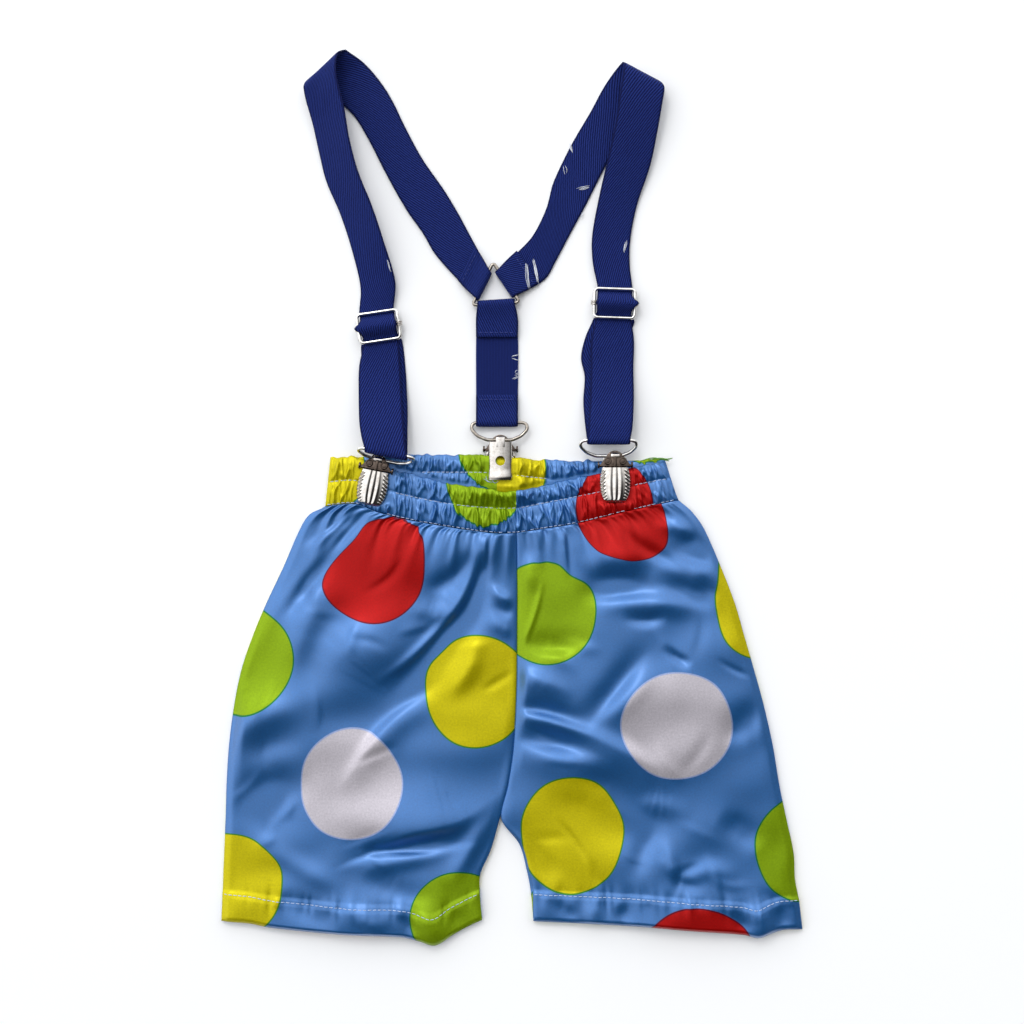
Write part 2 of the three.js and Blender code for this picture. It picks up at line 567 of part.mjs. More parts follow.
function foldHeight(x, y) {
  return folds.reduce((sum, fold) => {
    const [runX, runY] = [fold.toX - fold.fromX, fold.toY - fold.fromY];
    const along = ((x - fold.fromX) * runX + (y - fold.fromY) * runY) / (runX * runX + runY * runY);
    const t = THREE.MathUtils.clamp(along, 0, 1);
    const away = Math.hypot(x - fold.fromX - t * runX, y - fold.fromY - t * runY);
    const taper = 1 - Math.abs(2 * t - 1) ** 3;
    return sum + fold.height * taper * Math.exp(-((away / fold.spread) ** 2));
  }, 0);
}

const inHem = (leg, station) => smoothstep(station, leg.length - 2.2, leg.length - 2);

// A grid of points down a panel, each made by a function of its place across and down
function panelGrid(columns, pointAt) {
  return Array.from({ length: panelRows + 1 }, (_, r) => (
    Array.from({ length: columns + 1 }, (__, c) => pointAt(c / columns, r / panelRows, c))
  ));
}

function frontPanel(leg, hem, columns, peek) {
  const underside = (across, x, y, station) => {
    const crown = crownHeight * Math.sin(Math.PI * across) ** 0.6 * smoothstep(station, 0, 3);
    const loft = crown + foldHeight(x, y) * Math.min(1, 6 * across, 6 * (1 - across));
    const nearBand = frontUnder(x, y) - clothWall - layerGap + 0.3;
    const waistRise = nearBand * (1 - smoothstep(station, 0, 2.5));
    return clothWall + layerGap + 0.6 * inHem(leg, station) + Math.max(loft, 0) + waistRise;
  };
  const outer = panelGrid(columns, (across, down, c) => {
    const { x, y, station } = legPlace(leg, hem, frontBand, across, down, peek);
    const below = readTable(frontBand, 'x', 'lower', x) - y;
    const uneven = 0.75 + 0.25 * Math.sin(1.9 * c);
    const pleat = c % 2 ? pleatHeight * uneven * (1 - smoothstep(below, 0, pleatReach)) : 0;
    const wall = lerp(clothWall, hemWall, inHem(leg, station));
    return new THREE.Vector3(x, y, underside(across, x, y, station) + wall + pleat);
  });
  const inner = panelGrid(columns / 2, (across, down) => {
    const { x, y, station } = legPlace(leg, hem, frontBand, across, down, peek);
    return new THREE.Vector3(x, y, underside(across, x, y, station));
  });
  return wallBetween(outer, inner);
}

function backPanel(leg, hem, columns) {
  const grid = (height) => panelGrid(columns, (across, down) => {
    const { x, y, station } = legPlace(leg, hem, backBand, across, down, 0);
    return new THREE.Vector3(x, y, height(station));
  });
  const top = grid((station) => lerp(clothWall, hemWall, inHem(leg, station)));
  return wallBetween(top, grid(() => 0));
}

const backPanelColumns = 10;
piece('shorts_back_left', backPanel(leftLeg, leftHem, backPanelColumns), satin());
piece('shorts_back_right', backPanel(rightLeg, rightHem, backPanelColumns), satin());
piece('shorts_front_left', frontPanel(leftLeg, leftHem, 36, 0), satin());
piece('shorts_front_right', frontPanel(rightLeg, rightHem, 32, inseamPeek), satin());

// ---- Ring ---------------------------------------------------------------------------------

const ringPoint = ({ x, y }) => new THREE.Vector3(x, y, ringZ);
const ring = {
  top: ringPoint(ringCorners.top),
  left: ringPoint(ringCorners.left),
  right: ringPoint(ringCorners.right),
};
piece('ring_triangle', wireLoop(roundedCorners([ring.top, ring.left, ring.right], 2.4), wire), nickel());

// ---- Clips --------------------------------------------------------------------------------

// Half of the wire loop's outline, from the middle of the barrel to the middle of its bar
const loopHalf = [
  { x: 7.2, up: 0 },
  { x: 12.6, up: 2.4 },
  { x: 16.0, up: 6.2 },
  { x: 15.8, up: 9.0 },
  { x: 13.6, up: 10.2 },
];

function clipLoop(clip) {
  const right = loopHalf.map(({ x, up }) => [x, up]);
  const left = loopHalf.toReversed().map(({ x, up }) => [-x, up]);
  const tilt = degToRad(clip.loopTilt);
  const points = [...right, ...left].map(([x, up]) => (
    new THREE.Vector3(x + clip.loopShift, up * Math.cos(tilt), up * Math.sin(tilt))
  ));
  return wireLoop(points, wire);
}

function clipBody() {
  const { halfWide, top, bottom, near, far, hole, holeY } = plate;
  const jaw = toManifold(box(-halfWide, halfWide, bottom, top, near, far));
  const punch = rod(hole, 6, 'y', 16).rotateX(Math.PI / 2).translate(0, holeY, near);
  const punched = jaw.subtract(toManifold(punch));
  const hinge = toManifold(box(-hood.halfWide, hood.halfWide, hood.bottom, hood.top, hood.near, hood.far));
  const web = toManifold(box(-barrel.halfWide, barrel.halfWide, hood.top - 0.4, 0, near, hood.far));
  const roll = toManifold(rod(barrel.radius, 2 * barrel.halfWide, 'x'));
  const bore = toManifold(rod(wire + wireGap, 2 * barrel.halfWide + 2, 'x'));
  return fromManifold(punched.add(hinge).add(web).add(roll).subtract(bore));
}

function clipCover() {
  const [columns, rows] = [8, 6];
  const pointAt = (c, r, depth) => {
    const [u, v] = [(2 * c) / columns - 1, (2 * r) / rows - 1];
    const narrow = 1 - 0.06 * v * v;
    const dome = cover.dome * (1 - u * u) * (1 - 0.45 * v * v);
    const y = lerp(cover.top, cover.bottom, r / rows);
    return new THREE.Vector3(cover.halfWide * u * narrow, y, cover.edge + dome - depth);
  };
  const grid = (depth) => Array.from({ length: rows + 1 }, (_, r) => (
    Array.from({ length: columns + 1 }, (__, c) => pointAt(c, r, depth))
  ));
  return wallBetween(grid(0), grid(cover.wall));
}

for (const clip of clips) {
  const place = new THREE.Group();
  place.position.set(clip.x, clip.y, clip.z);
  place.rotation.set(0, clip.flipped ? Math.PI : 0, degToRad(clip.turn));
  garment.add(place);
  piece(`clip_loop_${clip.side}`, clipLoop(clip), nickel(), place);
  piece(`clip_body_${clip.side}`, clipBody(), darkNickel(), place);
  piece(`clip_cover_${clip.side}`, clipCover(), nickel(), place);
  place.updateMatrixWorld();
  const tilt = degToRad(clip.loopTilt);
  clip.barEnds = [-loopBarHalf, loopBarHalf].map((x) => {
    const [y, z] = [loopHeight * Math.cos(tilt), loopHeight * Math.sin(tilt)];
    return new THREE.Vector3(x + clip.loopShift, y, z).applyMatrix4(place.matrixWorld);
  });
}
const [leftClip, rightClip, backClip] = clips;

// ---- Sliders ------------------------------------------------------------------------------

function sliderBar() {
  const straight = toManifold(rod(bar, 2 * sliderHalfWide, 'x', 8));
  const atEnds = (radius, length) => {
    const [left, right] = [-sliderHalfWide, sliderHalfWide].map((x) => (
      toManifold(rod(radius, length, 'y').translate(x, 0, 0))
    ));
    return left.add(right);
  };
  const curls = atEnds(wire + wireGap + curlWall, curlLength);
  return fromManifold(straight.add(curls).subtract(atEnds(wire + wireGap, curlLength + 2)));
}

for (const slider of sliders) {
  const place = new THREE.Group();
  place.position.set(slider.x, slider.y, sliderZ);
  place.rotation.z = degToRad(slider.turn);
  garment.add(place);
  const corners = [[1, 1], [-1, 1], [-1, -1], [1, -1]].map(([x, y]) => (
    new THREE.Vector3(x * sliderHalfWide, y * sliderHalfHigh, 0)
  ));
  piece(`slider_frame_${slider.side}`, wireLoop(roundedCorners(corners, 2.2), wire), nickel(), place);
  piece(`slider_bar_${slider.side}`, sliderBar(), nickel(), place);
  place.updateMatrixWorld();
  slider.matrix = place.matrixWorld;
}
const [leftSlider, rightSlider] = sliders;

// A line across the strap in a slider's frame, at a height above the surface
function sliderLine(slider, halfWide, y, z) {
  return [-halfWide, halfWide].map((x) => new THREE.Vector3(x, y, z - sliderZ).applyMatrix4(slider.matrix));
}

// The strap under the frame's upper wire, over the middle bar and under the lower wire
function throughSlider(slider) {
  return sliderStrapPlaces.map((y) => {
    const hump = Math.cos((Math.PI / 2) * Math.min(1, Math.abs(y) / sliderHalfHigh)) ** 2;
    const wide = sliderStrapHalf + sliderStrapSwell * smoothstep(hump, 0.75, 1);
    return sliderLine(slider, wide, y, lerp(sliderStrapLow, sliderStrapHigh, hump));
  });
}

// The sewn end of the strap, from below the lower wire to a wrap round the middle bar
function roundBar(slider) {
  const radius = bar + wireGap + elasticWall / 2;
  const [a, b] = sliderLine(slider, barWrapHalf, 0, sliderZ);
  const onward = new THREE.Vector3(0, 1, 0).transformDirection(slider.matrix);
  return [
    sliderLine(slider, 12, -sliderHalfHigh - 1.6, 0.7),
    sliderLine(slider, 11, -sliderHalfHigh + 1, 0.75),
    sliderLine(slider, 9.6, -4.2, 1.2),
    ...roundWire(a, b, onward, radius, -90, 130, 7),
  ];
}

// ---- Braces -------------------------------------------------------------------------------

// A strap's sewn end round one side of the ring: over it, round it and back under it
function ringEnd(cornerFrom, cornerTo, strapRow) {
  const side = cornerTo.clone().sub(cornerFrom);
  const a = cornerFrom.clone().add(side.clone().setLength(ringClear));
  const b = cornerTo.clone().sub(side.clone().setLength(ringClear));
  const [rowA, rowB] = acrossStrap(strapRow);
  const middle = (p, q) => p.clone().add(q).divideScalar(2);
  const outward = middle(a, b).sub(middle(rowA, rowB)).setZ(0).normalize();
  const behind = (distance, gap) => [a, b].map((p) => (
    p.clone().addScaledVector(outward, -distance).setZ(strapRest + elasticWall + gap)
  ));
  const flap = [behind(flapLength, layerGap), behind(flapLength / 2, 2 * layerGap)];
  return [...flap, ...roundWire(a, b, outward, wrapRadius, 90, -90)];
}

const flipAcross = (lines) => lines.map(([a, b]) => [b, a]);
const rearLeftLines = [...ringEnd(ring.top, ring.left, rearLeft[0]), ...smoothStrap(rearLeft)];
const rearRightLines = [...ringEnd(ring.top, ring.right, rearRight[0]), ...smoothStrap(rearRight)];
const frontLeftLines = [...smoothStrap(frontLeft), ...throughSlider(leftSlider)];
const frontRightLines = [...smoothStrap(frontRight), ...flipAcross(throughSlider(rightSlider))];
piece('strap_rear_left', strapWall(rearLeftLines), elastic());
piece('strap_rear_right', strapWall(rearRightLines), elastic());
piece('strap_front_left', strapWall(frontLeftLines), elastic());
piece('strap_front_right', strapWall(frontRightLines), elastic());

function strapTail(upper, under, clip, slider) {
  const [a, b] = clip.barEnds;
  const onward = new THREE.Vector3(0, -1, 0);
  return strapWall([
    sliderLine(slider, 11.4, -sliderHalfHigh - 1.7, sliderStrapLow + 0.05),
    ...smoothStrap(upper),
    ...roundWire(a, b, onward, wrapRadius, 90, -90),
    ...smoothStrap(under),
    ...roundBar(slider),
  ]);
}
piece('strap_tail_left', strapTail(tailLeftUpper, tailLeftUnder, leftClip, leftSlider), elastic());
piece('strap_tail_right', strapTail(tailRightUpper, tailRightUnder, rightClip, rightSlider), elastic());

function backStrapLines() {
  const { left, right, ringLeft, ringRight, topFlapEnd, bottomFlapEnd, flapZ } = backStrap;
  const line = (y, z) => [left, right].map((x) => new THREE.Vector3(x, y, z));
  const onRing = (x) => {
    const share = (x - ring.left.x) / (ring.right.x - ring.left.x);
    return new THREE.Vector3().lerpVectors(ring.left, ring.right, share);
  };
  const barY = backClip.barEnds[0].y;
  const [up, down] = [1, -1].map((y) => new THREE.Vector3(0, y, 0));
  return [
    line(topFlapEnd, flapZ),
    line(lerp(topFlapEnd, ring.left.y, 0.6), flapZ + flapSpring),
    ...roundWire(onRing(ringLeft), onRing(ringRight), up, wrapRadius, 90, -90),
    line(topFlapEnd, strapRest),
    line(bottomFlapEnd, strapRest),
    ...roundWire(...line(barY, backClip.barEnds[0].z), down, wrapRadius, -90, 90),
    line(lerp(barY, bottomFlapEnd, 0.5), flapZ + flapSpring),
    line(bottomFlapEnd, flapZ),
  ];
}
piece('strap_back', strapWall(backStrapLines()), elastic());

export default garment;
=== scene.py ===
# Toddler's satin dot shorts with clip-on Y-back elastic braces, laid out flat on their back.
# Sizes are in millimetres in the part's own frame: left is -X, the braces point to +Y, and the
# surface they lie on is z = 0. Every mesh is made in metres.
import math

import bpy
import numpy as np
from mathutils import Matrix, Vector


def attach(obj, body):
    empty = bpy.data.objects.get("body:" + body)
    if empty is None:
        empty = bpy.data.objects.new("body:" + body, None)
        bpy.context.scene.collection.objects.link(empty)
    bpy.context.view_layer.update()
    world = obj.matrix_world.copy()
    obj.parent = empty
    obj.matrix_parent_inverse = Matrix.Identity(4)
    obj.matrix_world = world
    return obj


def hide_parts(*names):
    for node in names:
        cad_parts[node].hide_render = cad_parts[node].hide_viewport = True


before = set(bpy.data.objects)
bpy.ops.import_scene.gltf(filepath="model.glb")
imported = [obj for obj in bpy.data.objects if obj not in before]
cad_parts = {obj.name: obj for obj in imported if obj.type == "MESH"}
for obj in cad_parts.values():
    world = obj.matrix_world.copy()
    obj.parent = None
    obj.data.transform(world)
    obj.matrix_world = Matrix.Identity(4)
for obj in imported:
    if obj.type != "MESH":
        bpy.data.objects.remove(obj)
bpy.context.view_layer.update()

mm = 0.001

# ---- Table, camera and light ---------------------------------------------------------------
# The costume lies on a plain white table top. The camera looks straight down on it from arm's
# height, and one large soft window light comes from past the shoulder end.

camera_height = 0.8165
view_middle = (0.0, -0.008)
table_size = 12.0

camera_data = bpy.data.cameras.new("camera")
camera_data.lens = 50
camera_data.sensor_width = 36
camera = bpy.data.objects.new("camera", camera_data)
camera.location = (*view_middle, camera_height)
bpy.context.collection.objects.link(camera)
bpy.context.scene.camera = camera


def colour(red, green, blue):
    """A colour given as it looks on a screen, 0 to 255, in the linear values of a shader."""
    return (*(((c / 255 + 0.055) / 1.055) ** 2.4 for c in (red, green, blue)), 1)


def feed(tree, socket, value):
    """Links a socket to another one, or sets it to a plain value."""
    if isinstance(value, bpy.types.NodeSocket):
        tree.links.new(value, socket)
    else:
        socket.default_value = value


def set_sockets(tree, sockets, **values):
    """Links or sets sockets by their names, with _ for a space."""
    for label, value in values.items():
        feed(tree, sockets[label.replace("_", " ")], value)


def new_node(tree, kind, **settings):
    node = tree.nodes.new(f"ShaderNode{kind}")
    for name, value in settings.items():
        setattr(node, name, value)
    return node


def vector_maths(tree, operation, *values):
    """A vector math node whose inputs are sockets or plain vectors."""
    node = new_node(tree, "VectorMath", operation=operation)
    for socket, value in zip(node.inputs, values):
        feed(tree, socket, value)
    return node.outputs["Value" if operation in ("DOT_PRODUCT", "LENGTH") else "Vector"]


def spread(tree, value, low, high, new_low, new_high, soft=False):
    """A value moved from one range to another, held at its ends."""
    node = new_node(tree, "MapRange", interpolation_type="SMOOTHSTEP" if soft else "LINEAR")
    for socket, number in zip(node.inputs, (value, low, high, new_low, new_high)):
        feed(tree, socket, number)
    return node.outputs[0]


def new_finish(name):
    """A new material, its node tree and the sockets of its shader."""
    finish = bpy.data.materials.new(name)
    finish.use_nodes = True
    return finish, finish.node_tree, finish.node_tree.nodes["Principled BSDF"].inputs


def soft_light(name, place, size, power):
    """A square area light that points at the middle of the costume."""
    data = bpy.data.lights.new(name, "AREA")
    data.size, data.energy = size, power
    light = bpy.data.objects.new(name, data)
    light.location = place
    light.rotation_euler = Vector(place).to_track_quat("Z", "Y").to_euler()
    bpy.context.collection.objects.link(light)


soft_light("window", place=(-0.5, 1.15, 1.5), size=0.55, power=7)

# A room that is bright towards the window wall and dim behind the viewer, so that a slope of the
# satin is light or dark as it leans
room_dim, room_bright = 0.03, 1.74
dim_end, bright_end = -0.49, 0.36
window_wall = (-0.45, 0.89, 0.0)
world = bpy.data.worlds.new("room")
world.use_nodes = True
room = world.node_tree
ray = new_node(room, "TexCoord").outputs["Generated"]
towards_window = vector_maths(room, "DOT_PRODUCT", ray, window_wall)
room_level = spread(room, towards_window, dim_end, bright_end, room_dim, room_bright, soft=True)
set_sockets(room, room.nodes["Background"].inputs, Strength=room_level, Color=colour(250, 252, 255))
bpy.context.scene.world = world
bpy.context.scene.view_settings.view_transform = "Standard"

bpy.ops.object.select_all(action="DESELECT")
bpy.ops.mesh.primitive_plane_add(size=table_size, location=(0, 0, -0.2 * mm))
table_top = bpy.context.active_object
table_top.name = "table_top"
table_paint, paint_tree, paint = new_finish("table paint")
set_sockets(paint_tree, paint, Base_Color=colour(252, 252, 252), Roughness=0.9)
table_top.data.materials.append(table_paint)

# ---- Back of the shorts --------------------------------------------------------------------
# Two panels of woven polyester satin with a large dot print, one for each leg, hemmed at the foot
# and sewn to the front panels at the sides, the inseams and the crotch. They lie on the table.


def table(columns, *rows):
    """Rows of sizes, as one array for each named column."""
    return dict(zip(columns.split(), np.array(rows, float).T))


def smooth(places, values, at):
    """A smooth curve through values at known places, read at other places."""
    n = np.clip(np.searchsorted(places, at, side="right") - 1, 0, len(places) - 2)
    before, after = np.maximum(n - 1, 0), np.minimum(n + 2, len(places) - 1)
    span = places[n + 1] - places[n]
    t = (at - places[n]) / span
    rise = t * t * (3 - 2 * t)
    leave = (values[n + 1] - values[before]) / (places[n + 1] - places[before])
    arrive = (values[after] - values[n]) / (places[after] - places[n])
    bend = (t**3 - 2 * t**2 + t) * leave + (t**3 - t**2) * arrive
    return values[n] * (1 - rise) + values[n + 1] * rise + bend * span


def step(x, start, end):
    """0 before start, 1 after end, and soft between them."""
    t = np.clip((x - start) / (end - start), 0, 1)
    return t * t * (3 - 2 * t)


# From the waist down to the hem: the side edge, and the centre seam or inseam
left_leg = table(
    "side_x side_y seam_x seam_y",
    (-106.8, -4.9, 2.1, -20.3),
    (-116.0, -10.0, 2.3, -24.5),
    (-123.3, -22.3, 2.5, -36.0),
    (-131.6, -41.0, 2.7, -54.0),
    (-141.0, -61.0, 2.6, -72.0),
    (-149.0, -80.5, 2.5, -90.0),
    (-155.0, -98.5, 2.3, -107.0),
    (-159.0, -118.0, 1.6, -124.0),
    (-162.0, -141.0, 0.2, -145.0),
    (-163.4, -163.0, -2.8, -165.0),
    (-164.0, -183.0, -7.1, -183.6),
    (-164.7, -200.0, -12.0, -201.0),
    (-165.3, -214.0, -18.0, -215.0),
    (-165.7, -226.3, -18.4, -226.0),
    (-166.3, -241.9, -17.1, -241.3),
)
right_leg = table(
    "side_x side_y seam_x seam_y",
    (95.2, -1.4, 2.7, -20.3),
    (103.0, -9.0, 2.9, -24.5),
    (110.5, -19.0, 3.1, -36.0),
    (119.0, -38.0, 3.3, -54.0),
    (127.5, -60.0, 3.2, -72.0),
    (133.0, -79.0, 3.1, -90.0),
    (138.5, -98.0, 2.9, -107.0),
    (144.0, -118.0, 2.2, -124.0),
    (149.2, -141.0, 0.8, -145.0),
    (153.2, -165.0, -2.2, -165.0),
    (157.2, -184.0, -6.2, -183.4),
    (161.2, -203.0, 4.2, -198.4),
    (162.0, -218.0, 8.6, -214.0),
    (164.2, -230.0, 10.9, -226.5),
    (166.2, -246.7, 12.2, -241.9),
)
last_station = 14
hem_stitch_station = 13
crotch_station = 10
# How far each hem hangs below the straight line between its corners, from side to inseam
left_hem = table(
    "across drop",
    (0.0, 0.0),
    (0.11, 1.3),
    (0.19, 3.6),
    (0.47, 7.6),
    (0.69, 9.2),
    (0.76, 11.7),
    (0.82, 14.2),
    (0.89, 8.1),
    (0.97, 1.8),
    (1.0, 0.0),
)
right_hem = table(
    "across drop",
    (0.0, 0.0),
    (0.07, 0.3),
    (0.12, 2.7),
    (0.165, 5.3),
    (0.22, 3.7),
    (0.42, 2.3),
    (0.6, 0.8),
    (1.0, 0.0),
)
# In stations: where the hem's waves start above it and are whole, and how far the waist is felt
hem_wave_reach, hem_wave_whole, waist_reach = 3.4, 0.6, 2.5
# Lower and upper edge of each half of the waistband, from the left side to the right side
back_band = table(
    "x lower upper",
    (-106.8, -4.9, 22.6),
    (-85.0, -3.4, 23.6),
    (-54.0, -3.0, 24.8),
    (-15.6, -3.0, 24.4),
    (12.6, -3.2, 22.2),
    (44.5, -3.4, 21.2),
    (66.2, -3.0, 21.4),
    (95.2, -1.4, 22.6),
)
back_band_top = (-102.6, 87.6)
cloth_wall = 1.2
hem_wall = 1.8
band_wall = 2.0
seam_gap = 0.3
layer_gap = 0.4
cloth_shown = 0.6


def leg_place(leg, hem, band, across, down, peek=0.0):
    """Where a point of a leg lies. Across runs from side to seam, and down from waist to hem."""
    stations = np.arange(last_station + 1.0)
    station = down * last_station
    side_x, side_y, seam_x, seam_y = (smooth(stations, column, station) for column in leg.values())
    inseam = step(station, crotch_station, crotch_station + 1) * (1 - step(station, 12.5, 14))
    x = side_x * (1 - across) + (seam_x + peek * inseam) * across
    wave = step(station, last_station - hem_wave_reach, last_station - hem_wave_whole)
    drop = wave * smooth(hem["across"], hem["drop"], across)
    waist = 1 - step(station, 0, waist_reach)
    waist_line = leg["side_y"][0] * (1 - across) + leg["seam_y"][0] * across
    follow = waist * (smooth(band["x"], band["lower"], x) - seam_gap - waist_line)
    return x, side_y * (1 - across) + seam_y * across - drop + follow, station


def grid(rows, columns):
    """Two arrays that run from 0 to 1, one along the columns and one along the rows."""
    return np.meshgrid(np.linspace(0, 1, columns), np.linspace(0, 1, rows))


def new_piece(name, points, faces, finish):
    """A smooth-shaded piece from points in millimetres and faces, in its material."""
    mesh = bpy.data.meshes.new(name)
    mesh.from_pydata((np.array(points) * mm).tolist(), [], faces)
    mesh.polygons.foreach_set("use_smooth", np.ones(len(mesh.polygons), bool))
    mesh.materials.append(finish)
    piece = bpy.data.objects.new(name, mesh)
    bpy.context.collection.objects.link(piece)
    return piece


def declared(piece, slot, *nodes):
    """Says what a piece rides on and the nodes that it replaces. Its slot is not used."""
    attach(piece, "root")
    if nodes:
        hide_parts(*nodes)
    return piece


def cloth_shell(name, top, bottom, fabric, finish):
    """A closed sheet between two grids of points, with its place on the flat cloth as its UV map."""
    rows, columns = top.shape[:2]
    under = rows * columns
    ids = np.arange(under).reshape(rows, columns)
    face = np.stack([ids[:-1, :-1], ids[1:, :-1], ids[1:, 1:], ids[:-1, 1:]], -1).reshape(-1, 4)
    rim = np.concatenate([ids[0], ids[1:, -1], ids[-1, -2::-1], ids[-2:0:-1, 0]])
    onward = np.roll(rim, -1)
    wall = np.stack([rim, onward, onward + under, rim + under], -1)
    faces = np.concatenate([face, face[:, ::-1] + under, wall])
    points = np.concatenate([top.reshape(-1, 3), bottom.reshape(-1, 3)])
    corners = points[faces]
    spread_out = np.cross(corners[:, 2] - corners[:, 0], corners[:, 3] - corners[:, 1])
    if np.einsum("ij,ij->", corners.mean(1), spread_out) < 0:
        faces = faces[:, ::-1]
    piece = new_piece(name, points, faces.tolist(), finish)
    places = np.zeros(len(piece.data.loops), np.int32)
    piece.data.loops.foreach_get("vertex_index", places)
    uv = piece.data.uv_layers.new(name="fabric")
    uv.data.foreach_set("uv", (fabric.reshape(-1, 2)[places % under] * mm).astype(np.float32).ravel())
    return piece


def stack(*columns):
    return np.stack(np.broadcast_arrays(*columns), -1)


def group_of(name, inputs, outputs):
    """An empty shader node group, from the kind of each input and output, with their sockets."""
    group = bpy.data.node_groups.new(name, "ShaderNodeTree")
    for way, sockets in (("INPUT", inputs), ("OUTPUT", outputs)):
        for label, kind in sockets.items():
            group.interface.new_socket(label, in_out=way, socket_type=f"NodeSocket{kind}")
    start = group.nodes.new("NodeGroupInput")
    end = group.nodes.new("NodeGroupOutput")
    return group, start.outputs, end.inputs


def use_group(tree, group, **values):
    """A node for a group, with its inputs linked or set. Returns its outputs."""
    node = new_node(tree, "Group", node_tree=group)
    set_sockets(tree, node.inputs, **values)
    return node.outputs


def maths(tree, operation, *values):
    """A math node whose inputs are sockets or plain numbers."""
    node = new_node(tree, "Math", operation=operation)
    for socket, value in zip(node.inputs, values):
        feed(tree, socket, value)
    return node.outputs[0]


def plus(tree, first, second, share):
    """A value with a share of another one added."""
    return maths(tree, "ADD", first, maths(tree, "MULTIPLY", second, share))


def sine(tree, value, times):
    return maths(tree, "SINE", maths(tree, "MULTIPLY", value, times))


def split(tree, place):
    """The separate parts of a place."""
    node = new_node(tree, "SeparateXYZ")
    feed(tree, node.inputs[0], place)
    return node.outputs


def mix_colour(tree, share, first, second, blend="MIX"):
    """A colour mix whose inputs are sockets or plain values."""
    node = new_node(tree, "Mix", data_type="RGBA", blend_type=blend)
    for socket, value in ((node.inputs[0], share), (node.inputs[6], first), (node.inputs[7], second)):
        feed(tree, socket, value)
    return node.outputs[2]


def shaded(tree, tint, level):
    """A colour made darker or lighter by a level."""
    grey = new_node(tree, "CombineColor")
    for socket in grey.inputs:
        feed(tree, socket, level)
    return mix_colour(tree, 1.0, tint, grey.outputs[0], "MULTIPLY")


def bumped(tree, height, strength, distance):
    """The normal of a surface with small heights on it. Distance is in millimetres."""
    node = new_node(tree, "Bump")
    set_sockets(tree, node.inputs, Strength=strength, Distance=distance * mm, Height=height)
    return node.outputs[0]


def noise(tree, place, scale, detail=3.0, roughness=0.5):
    node = new_node(tree, "TexNoise")
    set_sockets(tree, node.inputs, Scale=scale, Detail=detail, Roughness=roughness, Vector=place)
    return node.outputs[0]


# One printed dot, laid over the colour that comes in, with the dark rim where two inks overlap
printed_dot, dot_in, dot_out = group_of(
    "printed dot",
    {
        "Fabric": "Vector",
        "Centre": "Vector",
        "Shrink": "Vector",
        "Show": "Float",
        "Under": "Color",
        "Ink": "Color",
        "Rim": "Color",
        "Lustre": "Float",
    },
    {"Colour": "Color", "Lustre": "Float"},
)
ink_lustre = 0.48
from_centre = vector_maths(printed_dot, "SUBTRACT", dot_in["Fabric"], dot_in["Centre"])
shrunk = vector_maths(printed_dot, "MULTIPLY", from_centre, dot_in["Shrink"])
reach = vector_maths(printed_dot, "LENGTH", shrunk)
up_to_rim = spread(printed_dot, reach, 1.0, 0.988, 0, 1, soft=True)
up_to_ink = spread(printed_dot, reach, 0.975, 0.96, 0, 1, soft=True)
in_rim = maths(printed_dot, "MULTIPLY", up_to_rim, dot_in["Show"])
in_dot = maths(printed_dot, "MULTIPLY", up_to_ink, dot_in["Show"])
rimmed = mix_colour(printed_dot, in_rim, dot_in["Under"], dot_in["Rim"])
less_lustre = maths(printed_dot, "SUBTRACT", ink_lustre, dot_in["Lustre"])
set_sockets(
    printed_dot,
    dot_out,
    Colour=mix_colour(printed_dot, in_dot, rimmed, dot_in["Ink"]),
    Lustre=plus(printed_dot, dot_in["Lustre"], less_lustre, in_rim),
)

# The satin's weave: fine floats with a little slub, and the soft mottle of the dyed cloth
thread_pitch = 0.45
satin_weave, weave_in, weave_out = group_of(
    "satin weave", {"Fabric": "Vector"}, {"Mottle": "Float", "Height": "Float", "Gloss": "Float"}
)
weave_place = split(satin_weave, weave_in["Fabric"])
around = 2 * math.pi / (thread_pitch * mm)
warp = sine(satin_weave, weave_place[0], around)
weft = sine(satin_weave, weave_place[1], 0.8 * around)
slub = noise(satin_weave, weave_in["Fabric"], 1400, 2)
dye = noise(satin_weave, weave_in["Fabric"], 60, 4, 0.6)
grain = noise(satin_weave, weave_in["Fabric"], 900, 2, 0.7)
dye_shade = spread(satin_weave, dye, 0.3, 0.7, 0.95, 1.04)
grain_shade = spread(satin_weave, grain, 0.3, 0.7, -0.12, 0.12)
set_sockets(
    satin_weave,
    weave_out,
    Mottle=maths(satin_weave, "ADD", dye_shade, grain_shade),
    Height=plus(satin_weave, slub, plus(satin_weave, warp, weft, 0.6), 0.25),
    Gloss=spread(satin_weave, grain, 0.3, 0.7, 0.36, 0.46),
)

satin_blue = colour(14, 100, 170)
satin_lustre = 0.58
ink_coat, satin_coat = 0.04, 1.0
# Each ink, and the rim where it overlaps the blue
inks = {
    "red": (colour(171, 8, 6), colour(96, 8, 32)),
    "yellow": (colour(196, 184, 0), colour(60, 124, 30)),
    "green": (colour(130, 160, 5), colour(24, 108, 50)),
    "white": (colour(193, 187, 194), colour(150, 165, 205)),
}


